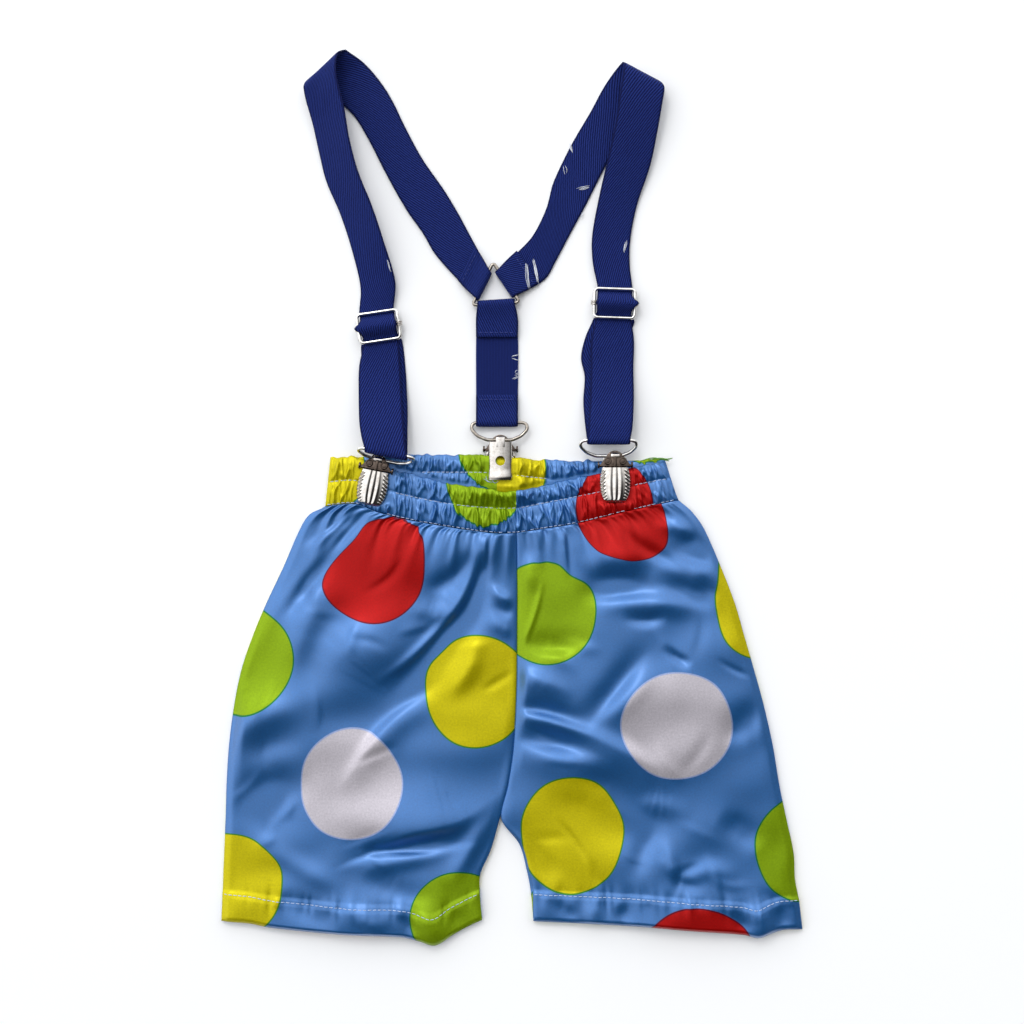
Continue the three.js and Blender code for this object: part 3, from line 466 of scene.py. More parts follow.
def satin(name, dots, seam=None):
    """Blue satin with printed dots, given as (ink, x, y, half width, half height, side) on the flat
    cloth. Side says on which side of a cut seam a dot was printed, or is None."""
    finish, tree, shader = new_finish(name)
    fabric = new_node(tree, "UVMap", uv_map="fabric").outputs[0]
    shown = {None: 1}
    if seam is not None:
        shown["left"] = maths(tree, "LESS_THAN", split(tree, fabric)[0], seam * mm)
        shown["right"] = maths(tree, "SUBTRACT", 1.0, shown["left"])
    printed, lustre = satin_blue, satin_lustre
    for ink, x, y, half_wide, half_high, side in dots:
        dot = use_group(
            tree,
            printed_dot,
            Fabric=fabric,
            Centre=(x * mm, y * mm, 0),
            Shrink=(1 / (half_wide * mm), 1 / (half_high * mm), 0),
            Show=shown[side],
            Under=printed,
            Ink=inks[ink][0],
            Rim=inks[ink][1],
            Lustre=lustre,
        )
        printed, lustre = dot["Colour"], dot["Lustre"]
    weave = use_group(tree, satin_weave, Fabric=fabric)
    set_sockets(
        tree,
        shader,
        Base_Color=shaded(tree, printed, weave["Mottle"]),
        Roughness=weave["Gloss"],
        Normal=bumped(tree, weave["Height"], strength=0.5, distance=0.03),
        Metallic=lustre,
        Coat_Weight=spread(tree, lustre, ink_lustre, satin_lustre, ink_coat, satin_coat),
        Coat_Roughness=0.38,
        Coat_IOR=1.74,
        Specular_IOR_Level=0.2,
    )
    return finish


left_dots = [
    ("red", -79.4, -41.7, 29.7, 30.8, None),
    ("green", -156.3, -91.4, 31.8, 33.2, None),
    ("yellow", -20.0, -109.9, 30.8, 32.5, None),
    ("white", -91.6, -163.3, 29.7, 32.0, None),
    ("yellow", -162.2, -222.1, 32.0, 30.8, None),
    ("green", -30.3, -239.8, 28.0, 26.8, None),
]
right_dots = [
    ("red", 73.4, -12.2, 32.6, 23.8, None),
    ("green", 18.8, -65.9, 30.0, 29.7, None),
    ("yellow", 146.2, -60.5, 30.8, 33.1, None),
    ("white", 94.2, -129.9, 32.4, 31.0, None),
    ("yellow", 34.1, -192.4, 30.1, 34.1, None),
    ("green", 170.2, -200.4, 32.3, 31.4, None),
    ("red", 105.6, -263.2, 32.8, 31.3, None),
]
seam_x = 2.4


def mirrored(dots):
    return [(ink, 2 * seam_x - x, y, *rest) for ink, x, y, *rest in dots]


end_reach = 0.35


def smooth_line(knots, points, at):
    return np.stack([smooth(knots, column, at) for column in points.T], -1)


def rounded(points):
    """A smooth line through a few points, with four steps from each one to the next."""
    knots = np.linspace(0, 1, len(points))
    return smooth_line(knots, points, np.linspace(0, 1, 4 * (len(points) - 1) + 1))


def crease_height(creases, x, y):
    """Height of soft ridges and, below zero, troughs. Each is (height, left, right, points): it follows
    a curve through its points, spreads that far to the left and right of it, and tapers at its ends."""
    total = np.zeros_like(x)
    for height, left, right, *route in creases:
        route = np.array(route, float)
        route[0] += end_reach * (route[0] - route[1])
        route[-1] += end_reach * (route[-1] - route[-2])
        line = rounded(route)
        nearest, on_left, along = np.full(x.shape, np.inf), np.zeros(x.shape, bool), np.zeros_like(x)
        for n, (start, end) in enumerate(zip(line[:-1], line[1:])):
            run = end - start
            share = np.clip(((x - start[0]) * run[0] + (y - start[1]) * run[1]) / (run @ run), 0, 1)
            dx, dy = x - start[0] - share * run[0], y - start[1] - share * run[1]
            away = np.hypot(dx, dy)
            closer = away < nearest
            nearest = np.where(closer, away, nearest)
            on_left = np.where(closer, run[0] * dy > run[1] * dx, on_left)
            along = np.where(closer, (n + share) / (len(line) - 1), along)
        taper = step(1 - np.abs(2 * along - 1), 0, 0.9)
        total += height * taper * np.exp(-((nearest / np.where(on_left, left, right)) ** 2))
    return total


# The underside is pressed flat by its own weight, and its creases are shallow hollows in it
back_creases = [
    (0.5, 7, 5, (-30, -40), (-70, -90), (-110, -120)),
    (0.45, 5, 8, (-20, -150), (-70, -180), (-130, -190)),
    (0.4, 6, 4, (-140, -60), (-150, -110), (-140, -160)),
    (0.5, 5, 7, (30, -50), (60, -90), (100, -110)),
    (0.45, 8, 5, (20, -140), (70, -160), (130, -170)),
    (0.4, 4, 6, (120, -190), (90, -215), (70, -225)),
    (0.35, 4, 4, (-90, -205), (-60, -225), (-50, -236)),
]
cloth_rows, cloth_columns, back_columns = 204, 176, 90
hem_turn = last_station - 1.2, last_station - 1
least_sheet = 0.4


def back_panel(side, leg, hem, dots):
    """One back leg panel, with the sheet it was cut as."""
    across, down = grid(cloth_rows, back_columns)
    x, y, station = leg_place(leg, hem, back_band, across, down)
    in_hem = step(station, *hem_turn)
    hollow = crease_height(back_creases, x, y) * np.clip(8 * across, 0, 1) * np.clip(8 * (1 - across), 0, 1)
    top = cloth_wall + (hem_wall - cloth_wall) * in_hem
    bottom = np.minimum(hollow, top - least_sheet)
    finish = satin(f"satin back {side}", dots)
    panel = cloth_shell(f"back_{side}_panel", stack(x, y, top), stack(x, y, bottom), stack(x, y), finish)
    declared(panel, "satin", f"shorts_back_{side}")


back_panel("left", left_leg, left_hem, mirrored(right_dots))
back_panel("right", right_leg, right_hem, mirrored(left_dots))

# ---- Back of the waistband -----------------------------------------------------------------
# The top of the back panels is turned down into a casing with two channels, each over a narrow
# elastic, sewn along its middle and its lower edge. It stands a little higher than the front one.

gather_fade = 3.0
side_taper = 5
casing_rows, casing_columns = 35, 561
casing_places = np.linspace(0, 1, casing_columns)
back_split = np.interp(casing_places, (0.0, 0.5, 0.72, 1.0), (0.64, 0.64, 0.53, 0.53))
front_split = np.interp(casing_places, (0.0, 0.35, 0.55, 1.0), (0.5, 0.53, 0.6, 0.575))
cover_pads = [(-6.6, 24.0, 10.6, 18.0)]
plate_pads = [(-79.0, 10.0, 9.5, 14.5), (58.8, 10.0, 8.0, 12.5)]
pressed_pads = [(-79.1, 9.4, 10, 12), (58.8, 11.0, 9.5, 12.5), (-6.6, 20.0, 8.5, 12)]
cover_lift = 3.8
plate_lift = 1.2
pad_fade = 12.0
# Folds of the casing, as (how many, how high, how wide): in the lower and in the upper channel,
# the fine ones in both, and the ups and downs of the ruffled upper edge
low_folds, high_folds, fine_folds = (48, 1.3, 1.05), (42, 1.3, 1.15), (96, 0.95, 0.66)
ruffles = (44, 0.8, 2.2), (44, -0.7, 2.2)
ruffle_start, top_thinning = 0.86, 0.45
# Loft of the casing: at its stitches, how much more between them, the most under a clip, where
# the other casing lies on it, and the least anywhere
stitched_loft, puffed_loft, pressed_loft, hidden_loft, least_loft = 0.9, 1.1, 1.7, 1.6, 0.5


def on_pads(pads, x, y, fade):
    """1 on a clip's plate or cover, given as (x, y, half width, half height), and soft round it."""
    shares = [
        (1 - step(np.abs(x - px), wide, wide + fade)) * (1 - step(np.abs(y - py), high, high + fade))
        for px, py, wide, high in pads
    ]
    return np.max(shares, axis=0)


def back_lift(x, y):
    return cover_lift * on_pads(cover_pads, x, y, pad_fade)


def front_under(x, y):
    """Underside of the front casing, which bridges the back clip and both front clips' plates."""
    on_panel = 1 - step(y, -12, -4)
    top_of_back = band_wall + (hem_wall - band_wall) * on_panel + back_lift(x, y)
    return top_of_back + layer_gap + 0.25 * back_lift(x, y) + plate_lift * on_pads(plate_pads, x, y, pad_fade)


def band_place(band, top, along, up):
    x_lower = band["x"][0] * (1 - along) + band["x"][-1] * along
    x_upper = top[0] * (1 - along) + top[1] * along
    y_lower = smooth(band["x"], band["lower"], x_lower)
    y_upper = smooth(band["x"], band["upper"], x_upper)
    return x_lower * (1 - up) + x_upper * up, y_lower * (1 - up) + y_upper * up


def puckers(draw, folds, length, along, up):
    """Uneven little folds across a gathered strip of cloth. Along is in millimetres, and up runs from
    0 to 1 between two rows of stitches, where each fold is pinched."""
    count, height, width = folds
    total = np.zeros_like(along)
    pitch = length / count
    for n in range(count):
        middle = (n + 0.5 + draw.uniform(-0.34, 0.34)) * pitch
        lean = draw.uniform(-0.9, 0.9) * pitch
        tall = height * draw.uniform(0.45, 1.25)
        wide = width * draw.uniform(0.7, 1.35)
        low = draw.choice([-0.3, 0.0, 0.35], p=[0.55, 0.25, 0.2])
        high = draw.choice([0.6, 1.0, 1.3], p=[0.2, 0.25, 0.55])
        shows = step(up, low, low + 0.25) * (1 - step(up, high - 0.25, high))
        bent = 0.25 * pitch * np.sin(5 * up + 2.1 * n)
        total += tall * shows * np.exp(-(((along - middle - lean * (up - 0.5) - bent) / wide) ** 2))
    return total


def waistband(side, band, top, under, channels_meet, seed, shows, seam, dots):
    """One half of the gathered casing. Its two channels meet at a share of the way up. Under gives
    the height of what it lies on, and shows is 0 where the other half hides it."""
    draw = np.random.default_rng(seed)
    along, up_rows = grid(casing_rows, casing_columns)
    up = 1 - up_rows
    x, y = band_place(band, top, along, up)
    length = band["x"][-1] - band["x"][0]
    from_start = along * length
    in_lower = up < channels_meet
    channel = np.where(in_lower, up / channels_meet, (up - channels_meet) / (1 - channels_meet))
    folds = [puckers(draw, some, length, from_start, channel) for some in (low_folds, high_folds, fine_folds)]
    gathers = np.where(in_lower, folds[0], folds[1]) + folds[2]
    pinch = np.clip(np.sin(math.pi * channel), 0, 1) ** 0.45
    ends = step(from_start, 0, side_taper) * (1 - step(from_start, length - side_taper, length))
    loft = stitched_loft + puffed_loft * pinch + gathers * (0.35 + 0.65 * pinch)
    pressed = on_pads(pressed_pads, x, y, gather_fade)
    loft = loft * (1 - pressed) + np.minimum(loft, pressed_loft) * pressed
    in_sight = shows(x, y)
    loft = loft * in_sight + hidden_loft * (1 - in_sight)
    at_top = step(up, ruffle_start, 1)
    loft = loft * (1 - top_thinning * at_top) * (0.35 + 0.65 * ends)
    ruffle = sum(puckers(draw, some, length, from_start, np.full_like(up, 0.5)) for some in ruffles)
    y = y + ruffle * at_top * (1 - pressed)
    floor = under(x, y)
    finish = satin(f"satin waistband {side}", dots, seam)
    fabric_x = fabric_across(x, y) if side == "front" else x
    drawn_up = 0.9 * (gathers - gathers.mean()) * pinch
    upper = stack(x, y, floor + np.maximum(loft, least_loft))
    lower = stack(x, y, floor + 0.05)
    piece = cloth_shell(f"{side}_waistband", upper, lower, stack(fabric_x, y + drawn_up), finish)
    declared(piece, "satin", f"waistband_{side}")
    return piece, upper


middle_fullness, side_fullness, half_waist = 0.13, 0.12, 108


def fabric_across(x, y):
    """Where a point lies across the flat cloth: the gathers hold more cloth than they show, most of
    it at the sides, and let it out again below the waist."""
    away = x - seam_x
    fullness = middle_fullness + side_fullness * step(np.abs(away) / half_waist, 0.3, 1)
    return seam_x + away * (1 + fullness * step(y, -52, -4))


front_band = table(
    "x lower upper",
    (-106.8, -4.6, 22.8),
    (-89.6, -3.4, 23.2),
    (-77.0, -8.0, 19.2),
    (-60.0, -12.3, 14.2),
    (-36.0, -16.6, 8.4),
    (-11.4, -20.0, 4.9),
    (2.4, -20.0, 3.8),
    (12.6, -18.4, 6.0),
    (38.3, -14.3, 11.8),
    (62.2, -8.4, 16.0),
    (80.0, -4.4, 19.4),
    (95.2, -1.1, 21.1),
)
front_band_top = (-103.9, 86.6)
back_seam_x = -8.6


def above_front(x, y):
    """1 where the back casing shows above the front one, and 0 where the front one lies on it."""
    return step(y - smooth(front_band["x"], front_band["upper"], x), 1.0, 4.0)


back_waistband, back_waist_top = waistband(
    "back",
    back_band,
    back_band_top,
    under=back_lift,
    channels_meet=back_split,
    seed=31,
    shows=above_front,
    seam=back_seam_x,
    dots=[
        ("yellow", -110.8, 16.0, 26.8, 34.3, "left"),
        ("green", -5.7, 32.0, 26.3, 28.6, "left"),
        ("yellow", -6.9, 16.0, 26.8, 30.0, "right"),
        ("green", 76.5, 44.5, 25.7, 24.6, "right"),
    ],
)

# ---- Front of the shorts -------------------------------------------------------------------
# Two front panels of the same satin. The cloth is fuller than the elastic at the waist, so short
# pleats run down from the casing, and soft folds lie across the lap and round each leg.

left_creases = [
    # hip: the cloth is drawn towards the side clip
    (-2.6, 5, 7, (-92.5, -9.0), (-106.8, -14.5), (-121.0, -24.0)),
    (1.4, 3, 3, (-91.0, -4.0), (-104.0, -8.0), (-114.0, -12.5)),
    (1.1, 2.2, 2.6, (-86.8, -5.7), (-98.0, -13.7), (-110.8, -26.8)),
    (-1.1, 2.2, 2.2, (-83.4, -8.0), (-92.5, -18.3), (-102.8, -30.8)),
    (-2.0, 5, 4, (-103.9, -33.1), (-116.5, -49.7), (-127.9, -66.8)),
    (2.4, 9, 11, (-99.0, -50.0), (-114.0, -66.8), (-122.8, -86.8), (-129.6, -109.6)),
    # lap: a broad hollow that runs down to the left, with a thin ridge in it
    (3.3, 22, 15, (-49.7, -65.1), (-75.4, -76.5), (-95.4, -89.6), (-108.5, -115.3)),
    (-3.0, 9, 16, (-11.4, -35.4), (-24.0, -65.1), (-42.8, -92.5), (-64.0, -116.5), (-86.8, -135.3)),
    (1.5, 2.6, 3.2, (-18.3, -28.0), (-26.8, -54.8), (-40.5, -73.7), (-61.7, -94.8), (-78.2, -105.1)),
    (2.0, 5, 6, (-16.0, -30.8), (-28.5, -54.8), (-42.8, -66.8), (-57.1, -62.2)),
    (-1.5, 5, 5, (-24.0, -33.1), (-35.4, -46.8), (-46.8, -51.4)),
    (-2.0, 4.5, 4.5, (-14.3, -26.8), (-18.3, -49.7), (-21.7, -72.5)),
    # by the centre seam, with a sharp tuck down from the waist
    (1.3, 1.4, 4.5, (-15.6, -19.0), (-15.4, -28.0), (-16.2, -40.0)),
    (1.4, 3, 3, (-12.6, -49.7), (-6.9, -56.0), (1.5, -59.4)),
    (-1.1, 3, 3, (-11.4, -60.5), (-4.0, -65.1), (1.5, -64.0)),
    (0.9, 4, 4, (-13.7, -68.5), (-5.7, -74.2), (1.5, -77.7)),
    (-0.8, 2, 2, (1.5, -99.4), (-6.9, -104.5), (-15.4, -109.6)),
    (1.2, 5, 5, (-19.4, -81.1), (-25.1, -99.4), (-35.4, -112.5)),
    # thigh
    (2.2, 9, 3.8, (-41.1, -109.6), (-61.1, -122.2), (-79.9, -141.0), (-95.4, -163.9)),
    (1.2, 8, 8, (-159.9, -138.2), (-142.7, -123.9), (-121.0, -118.2)),
    (-2.5, 16, 12, (-156.5, -181.6), (-139.3, -174.2), (-119.9, -161.0)),
    (-1.2, 10, 8, (-150.0, -150.0), (-138.0, -140.0), (-120.0, -138.0)),
    # the sharp tuck from the crotch
    (3.5, 5.5, 24, (-9.1, -169.6), (-30.3, -183.6), (-56.0, -189.5), (-73.3, -196.4), (-103.6, -208.1)),
    (-2.4, 2.6, 6.5, (-22.0, -195.3), (-46.5, -199.9), (-79.1, -202.1), (-98.9, -209.3)),
    (1.1, 5, 4, (-41.1, -203.5), (-64.0, -207.2), (-86.8, -211.8)),
    (-1.6, 6, 8, (-46.8, -226.7), (-66.8, -225.5), (-79.9, -216.4)),
    (1.5, 5, 6, (-13.7, -181.0), (-24.0, -201.0), (-34.3, -218.1)),
    (1.2, 6, 6, (-100.0, -222.0), (-118.0, -212.0), (-140.0, -200.0)),
    # the hem's own waves
    (-1.2, 8, 6, (-128.5, -231.0), (-112.0, -239.0), (-100.5, -243.0)),
    (1.2, 5, 5, (-92.0, -234.0), (-82.0, -241.0), (-74.0, -247.0)),
    (-1.1, 4, 4, (-66.8, -236.0), (-60.0, -242.0), (-56.0, -249.0)),
    (2.0, 7, 6, (-52.0, -231.0), (-46.0, -244.0), (-42.0, -255.0)),
    (-1.3, 5, 5, (-34.0, -236.0), (-30.0, -243.0), (-26.0, -250.0)),
    # broad swells: over the lap, above the thigh and along the hem
    (1.2, 16, 26, (-75.0, -10.0), (-30.0, -22.0), (15.0, -26.0)),
    (2.2, 22, 34, (-185.0, -145.0), (-140.0, -124.0), (-95.0, -112.0)),
    (1.9, 28, 17, (-135.0, -243.0), (-84.0, -240.0), (-35.0, -233.0)),
]
right_creases = [
    # under the waist: a sharp tuck, two pockets and the bright fold below them
    (1.3, 1.4, 4.0, (29.6, -17.0), (30.0, -27.0), (31.5, -43.0)),
    (-3.0, 9, 6, (41.7, -53.7), (61.7, -52.5), (81.7, -56.0)),
    (1.8, 8, 8, (44.5, -33.1), (60.5, -35.4), (78.8, -33.1)),
    (-2.3, 7, 5, (85.7, -48.0), (101.6, -54.8), (114.2, -59.4)),
    (1.6, 6, 8, (84.5, -35.4), (101.6, -40.0), (116.5, -46.8)),
    (-2.0, 8, 6, (91.4, -28.5), (107.4, -31.4), (118.0, -28.5)),
    (1.4, 4, 4, (84.0, -14.0), (94.0, -17.0), (103.0, -22.0)),
    (-1.3, 3.5, 3.5, (57.1, -12.6), (73.1, -26.8), (89.1, -35.4), (101.6, -42.3)),
    (2.2, 5, 6, (49.1, -61.7), (67.4, -58.2), (86.8, -60.5), (101.6, -65.1)),
    (-1.2, 4, 3, (65.1, -68.5), (76.5, -70.2), (86.2, -67.9)),
    (-1.4, 2.4, 3, (87.9, -85.7), (94.8, -91.4), (101.1, -94.2)),
    (-2.1, 4, 7.5, (74.2, -89.6), (58.8, -109.6), (43.4, -126.8)),
    (0.9, 6, 6, (81.7, -97.1), (68.5, -112.5), (53.7, -127.9)),
    # by the centre seam: long folds that lie almost level
    (1.8, 5, 7, (3.0, -101.6), (16.0, -103.9), (30.8, -111.9)),
    (-1.9, 6, 3.2, (3.0, -118.8), (20.6, -122.2), (41.1, -129.1)),
    (1.8, 3.2, 5, (3.0, -124.5), (21.7, -126.8), (43.4, -134.8)),
    (-2.1, 7, 4, (3.0, -137.0), (27.4, -140.5), (50.2, -145.0)),
    (1.4, 5, 8, (4.6, -143.9), (27.4, -150.7), (53.7, -155.3)),
    (-2.1, 8, 4, (9.1, -81.1), (22.8, -85.7), (41.7, -81.1)),
    (0.8, 1.6, 1.6, (6.3, -83.4), (12.6, -67.4), (17.1, -49.7)),
    (1.3, 5, 5, (12.0, -32.0), (10.0, -42.0), (14.0, -52.0)),
    # thigh
    (-1.8, 10, 6, (119.9, -135.3), (133.0, -129.6), (141.6, -115.3)),
    (2.6, 6, 15, (22.0, -129.0), (44.0, -136.0), (68.0, -148.0), (90.0, -160.0)),
    (-1.8, 7, 7, (119.9, -185.0), (131.3, -190.0), (139.3, -198.7)),
    (-2.6, 15, 18, (26.0, -158.0), (52.0, -170.0), (78.0, -184.0), (96.0, -184.0)),
    (-0.7, 1.6, 1.6, (28.0, -185.0), (36.0, -196.0), (43.6, -209.0)),
    (-1.5, 6, 6, (6.9, -198.1), (16.0, -208.0), (25.7, -216.4)),
    (1.2, 8, 8, (20.0, -165.0), (44.0, -168.0), (62.0, -184.0)),
    # the three-cornered fold over the hem
    (-1.3, 5, 6, (80.5, -186.0), (75.0, -200.0), (70.0, -216.0)),
    (1.3, 4, 4.5, (87.0, -196.0), (91.0, -208.0), (94.6, -221.0)),
    (-1.0, 3.5, 5, (86.0, -214.0), (97.0, -220.0), (108.0, -222.0)),
    (1.2, 6, 7, (70.0, -178.0), (84.0, -176.0), (98.0, -182.0)),
    (-0.5, 2.4, 3.2, (92.9, -215.1), (99.9, -211.8), (107.4, -209.0)),
    (1.0, 5, 5, (100.0, -216.0), (112.0, -212.0), (126.0, -216.0)),
    # the hem's own waves
    (-1.1, 4, 4, (22.0, -229.0), (30.0, -236.0), (36.0, -240.0)),
    (1.3, 5, 5, (44.0, -230.0), (46.0, -238.0), (44.0, -244.0)),
    (-1.0, 4, 4, (62.0, -234.0), (64.0, -243.0)),
    (-1.3, 5, 5, (118.0, -234.0), (128.0, -241.0), (134.0, -247.0)),
    (1.9, 6, 6, (139.0, -231.0), (142.0, -242.0), (144.0, -252.0)),
    (-1.0, 4, 4, (152.0, -234.0), (156.0, -243.0)),
    # broad swells: by the seam, across the middle and along the hem
    (2.3, 22, 34, (-22.0, -98.0), (24.0, -102.0), (72.0, -114.0)),
    (1.5, 26, 38, (45.0, -128.0), (96.0, -114.0), (150.0, -106.0)),
    (1.9, 40, 24, (55.0, -248.0), (108.0, -244.0), (165.0, -240.0)),
]
# Loft of a leg between its seams, and how strongly its folds and waves stand in it
crown, crease_depth, wave_height = 2.3, 1.5, 0.75
# How far the print moves on the waves and on the pleats
print_drift, pleat_drift = 0.9, 1.1
seam_close, close_from = 0.28, 0.93
inseam_peek = 1.4
pleat_count, crease_count, hem_pucker_count = 34, 30, 38
# Added to a panel's seed for its waves and for its small creases
wave_seed, crease_seed = 40, 80
crease_margin, crease_span = 12, (-225, -30)
hem_stitch_dip, hem_dip_wide = 0.5, 1.1
hem_rise = 0.6
# Where a fold draws the print out of shape: (x, y, reach, how far it moves)
left_pulls = [(-81.0, -13.5, 9.0, 8.0), (-42.0, -85.0, 9.0, -2.6)]
right_pulls = [(32.4, -43.0, 8.5, 5.0)]


def soft_waves(draw, x, y, count=16):
    """The slight unevenness of cloth that has only been laid down: broad waves in all directions."""
    total = np.zeros_like(x)
    for _ in range(count):
        length = draw.uniform(24, 75)
        turn = draw.uniform(-0.9, 0.5)
        phase = draw.uniform(0, 2 * math.pi)
        bend = 9 * np.sin((x * 0.6 - y) / draw.uniform(30, 60) + phase)
        along = x * math.sin(turn) + y * math.cos(turn) + bend
        total += length / 60 * np.sin(2 * math.pi * along / length + phase)
    return total / math.sqrt(count)


def small_creases(draw, count, x_range, y_range):
    """Short soft creases with no pattern, most of them running down and outwards from the waist."""
    creases = []
    for _ in range(count):
        start = np.array((draw.uniform(*x_range), draw.uniform(*y_range)))
        outward = 1 if start[0] > seam_x else -1
        turn = draw.normal(0.7, 0.65)
        run = draw.uniform(11, 30) * np.array((outward * math.sin(turn), -math.cos(turn)))
        bow = draw.uniform(-0.12, 0.12) * np.array((run[1], -run[0]))
        height = draw.uniform(0.25, 0.75) * draw.choice([-1, 1])
        creases.append((height, *draw.uniform(1.6, 4.4, 2), start, start + run / 2 + bow, start + run))
    return creases


def waist_pleats(draw, count, width, from_side, below):
    """Pleats that run on from the casing into a panel and die out, each at its own length."""
    total = np.zeros_like(from_side)
    pitch = width / count
    for n in range(count):
        middle = (n + 0.5 + draw.uniform(-0.35, 0.35)) * pitch
        drift = draw.uniform(-0.12, 0.12)
        tall = draw.uniform(0.5, 1.6) * draw.choice([1, 1, -0.8])
        reach_down = draw.uniform(5, 13) if n % 3 else draw.uniform(14, 30)
        wide = draw.uniform(1.0, 1.7) + 0.07 * np.clip(below, 0, 60)
        aside = from_side - middle - drift * below
        total += tall * np.exp(-((below / reach_down) ** 2)) * np.exp(-((aside / wide) ** 2))
    return total


def hem_puckers(draw, count, across, from_stitch):
    """Small puckers that the hem's stitching pulls into the cloth."""
    total = np.zeros_like(across)
    for n in range(count):
        middle = (n + 0.5 + draw.uniform(-0.4, 0.4)) / count
        tall = draw.uniform(-1.0, 0.8)
        wide = draw.uniform(0.28, 0.65) / count
        far = draw.uniform(1.8, 7.5)
        total += tall * np.exp(-(((across - middle) / wide) ** 2)) * np.exp(-((from_stitch / far) ** 2))
    return total


def drawn_aside(pulls, x, y):
    """How far folds move the print sideways."""
    return sum(far * np.exp(-((x - px) ** 2 + (y - py) ** 2) / reach**2) for px, py, reach, far in pulls)


def front_panel(side, leg, hem, dots, creases, pulls, seed, peek):
    """One front leg panel, as a thin sheet over the leg's form. Peek is how far it stands back from
    the inseam, where the back panel shows past it."""
    draw = np.random.default_rng(seed)
    across, down = grid(cloth_rows, cloth_columns)
    x, y, station = leg_place(leg, hem, front_band, across, down, peek)
    towards_seam = np.sign(leg["seam_x"][0] - leg["side_x"][0])
    above_crotch = 1 - step(station, crotch_station - 1, crotch_station)
    x = x + towards_seam * seam_close * step(across, close_from, 1) * above_crotch
    y = y + seam_close * (1 - step(station, 0, 0.4))
    width = np.abs(leg["side_x"][0] - leg["seam_x"][0])
    below = smooth(front_band["x"], front_band["lower"], x) - y
    leg_wide = np.abs(x[:, :1] - x[:, -1:])
    from_side, from_seam = across * leg_wide, (1 - across) * leg_wide
    in_hem = step(station, *hem_turn)
    inside = step(from_side, 0, 9) * step(from_seam, 0, 6)
    loft = crown * np.clip(np.sin(math.pi * across), 0, 1) ** 0.6 * step(station, 0, 2)
    waves = soft_waves(np.random.default_rng(seed + wave_seed), x, y)
    small_draw = np.random.default_rng(seed + crease_seed)
    x_span = (x.min() + crease_margin, x.max() - crease_margin)
    small = small_creases(small_draw, crease_count, x_span, crease_span)
    folds = crease_depth * crease_height(creases, x, y) + crease_height(small, x, y)
    loft = loft + (folds + wave_height * waves) * inside
    near_waist = (front_under(x, y) - cloth_wall - layer_gap + 0.3) * (1 - step(station, 0, waist_reach))
    loft = np.logaddexp(0, 2.2 * (loft + 0.25)) / 2.2
    pleats = waist_pleats(draw, pleat_count, width, across * width, below) * step(below, -1, 1.5)
    at_stitches = np.full_like(down, hem_stitch_station / last_station)
    from_stitch = y - leg_place(leg, hem, front_band, across, at_stitches, peek)[1]
    puckered = hem_puckers(draw, hem_pucker_count, across, from_stitch)
    puckered = puckered - hem_stitch_dip * np.exp(-((from_stitch / hem_dip_wide) ** 2))
    base = cloth_wall + layer_gap + hem_rise * in_hem + near_waist
    wall = cloth_wall + (hem_wall - cloth_wall) * in_hem
    top = base + wall + loft + pleats * inside + puckered * inside
    rolled = step(from_side, -0.5, 4.5) * step(from_seam, -3, 2.5)
    lowest = cloth_wall + cloth_shown + 0.15 + hem_rise * in_hem
    hem_edge = 1 - 0.5 * step(station, last_station - 0.14, last_station)
    top = lowest + (np.maximum(top, lowest + 0.2) - lowest) * (0.15 + 0.85 * rolled) * hem_edge
    finish = satin(f"satin front {side}", dots)
    drawn = print_drift * waves
    fabric = stack(fabric_across(x, y) + drawn + drawn_aside(pulls, x, y), y + pleat_drift * pleats + drawn)
    upper = stack(x, y, top)
    panel = cloth_shell(f"front_{side}_panel", upper, stack(x, y, top - cloth_shown), fabric, finish)
    declared(panel, "satin", f"shorts_front_{side}")
    return upper


front_tops = [
    front_panel("left", left_leg, left_hem, left_dots, left_creases, left_pulls, seed=11, peek=0.0),
    front_panel(
        "right", right_leg, right_hem, right_dots, right_creases, right_pulls, seed=12, peek=inseam_peek
    ),
]

# ---- Front of the waistband ----------------------------------------------------------------
# The front casing is made as the back one. It sags lower at the middle, lies on the back casing
# at both sides, and is pressed flat under the two front clips.

_, front_waist_top = waistband(
    "front",
    front_band,
    front_band_top,
    under=front_under,
    channels_meet=front_split,
    seed=47,
    shows=lambda x, y: np.ones_like(x),
    seam=seam_x,
    dots=[
        ("green", -17.0, 14.5, 27.0, 31.0, "left"),
        ("yellow", -134.2, 20.6, 30.8, 34.3, "left"),
        ("red", 69.0, -6.0, 28.5, 27.0, "right"),
    ],
)

# ---- Stitching of the shorts ---------------------------------------------------------------
# Pale blue lockstitch: along the middle of the casing and its lower edge, and across the front
# of each turned-up hem. Each stitch is a short round thread that dips into the cloth at its ends.

stitch_long, stitch_pitch, stitch_radius = 2.62, 2.85, 0.22
thread_sides = 6
# Along a stitch: the place, the share of the full thickness, and the height over the cloth
stitch_shape = [(-0.5, 0.05, -0.25), (-0.32, 0.9, 0.1), (0.0, 1.0, 0.2), (0.32, 0.9, 0.1), (0.5, 0.05, -0.25)]


def thread_finish(name, tint):
    """Spun thread, twisted, with a dull shine."""
    finish, tree, shader = new_finish(name)
    fibres = noise(tree, new_node(tree, "TexCoord").outputs["Object"], 2600, 3)
    set_sockets(
        tree,
        shader,
        Base_Color=shaded(tree, tint, spread(tree, fibres, 0.3, 0.7, 0.72, 1.05)),
        Roughness=spread(tree, fibres, 0.3, 0.7, 0.45, 0.65),
        Normal=bumped(tree, fibres, strength=0.6, distance=0.05),
    )
    return finish


def run_along(line):
    """How far along a line each of its points lies."""
    return np.concatenate([[0], np.cumsum(np.linalg.norm(np.diff(line, axis=0), axis=1))])


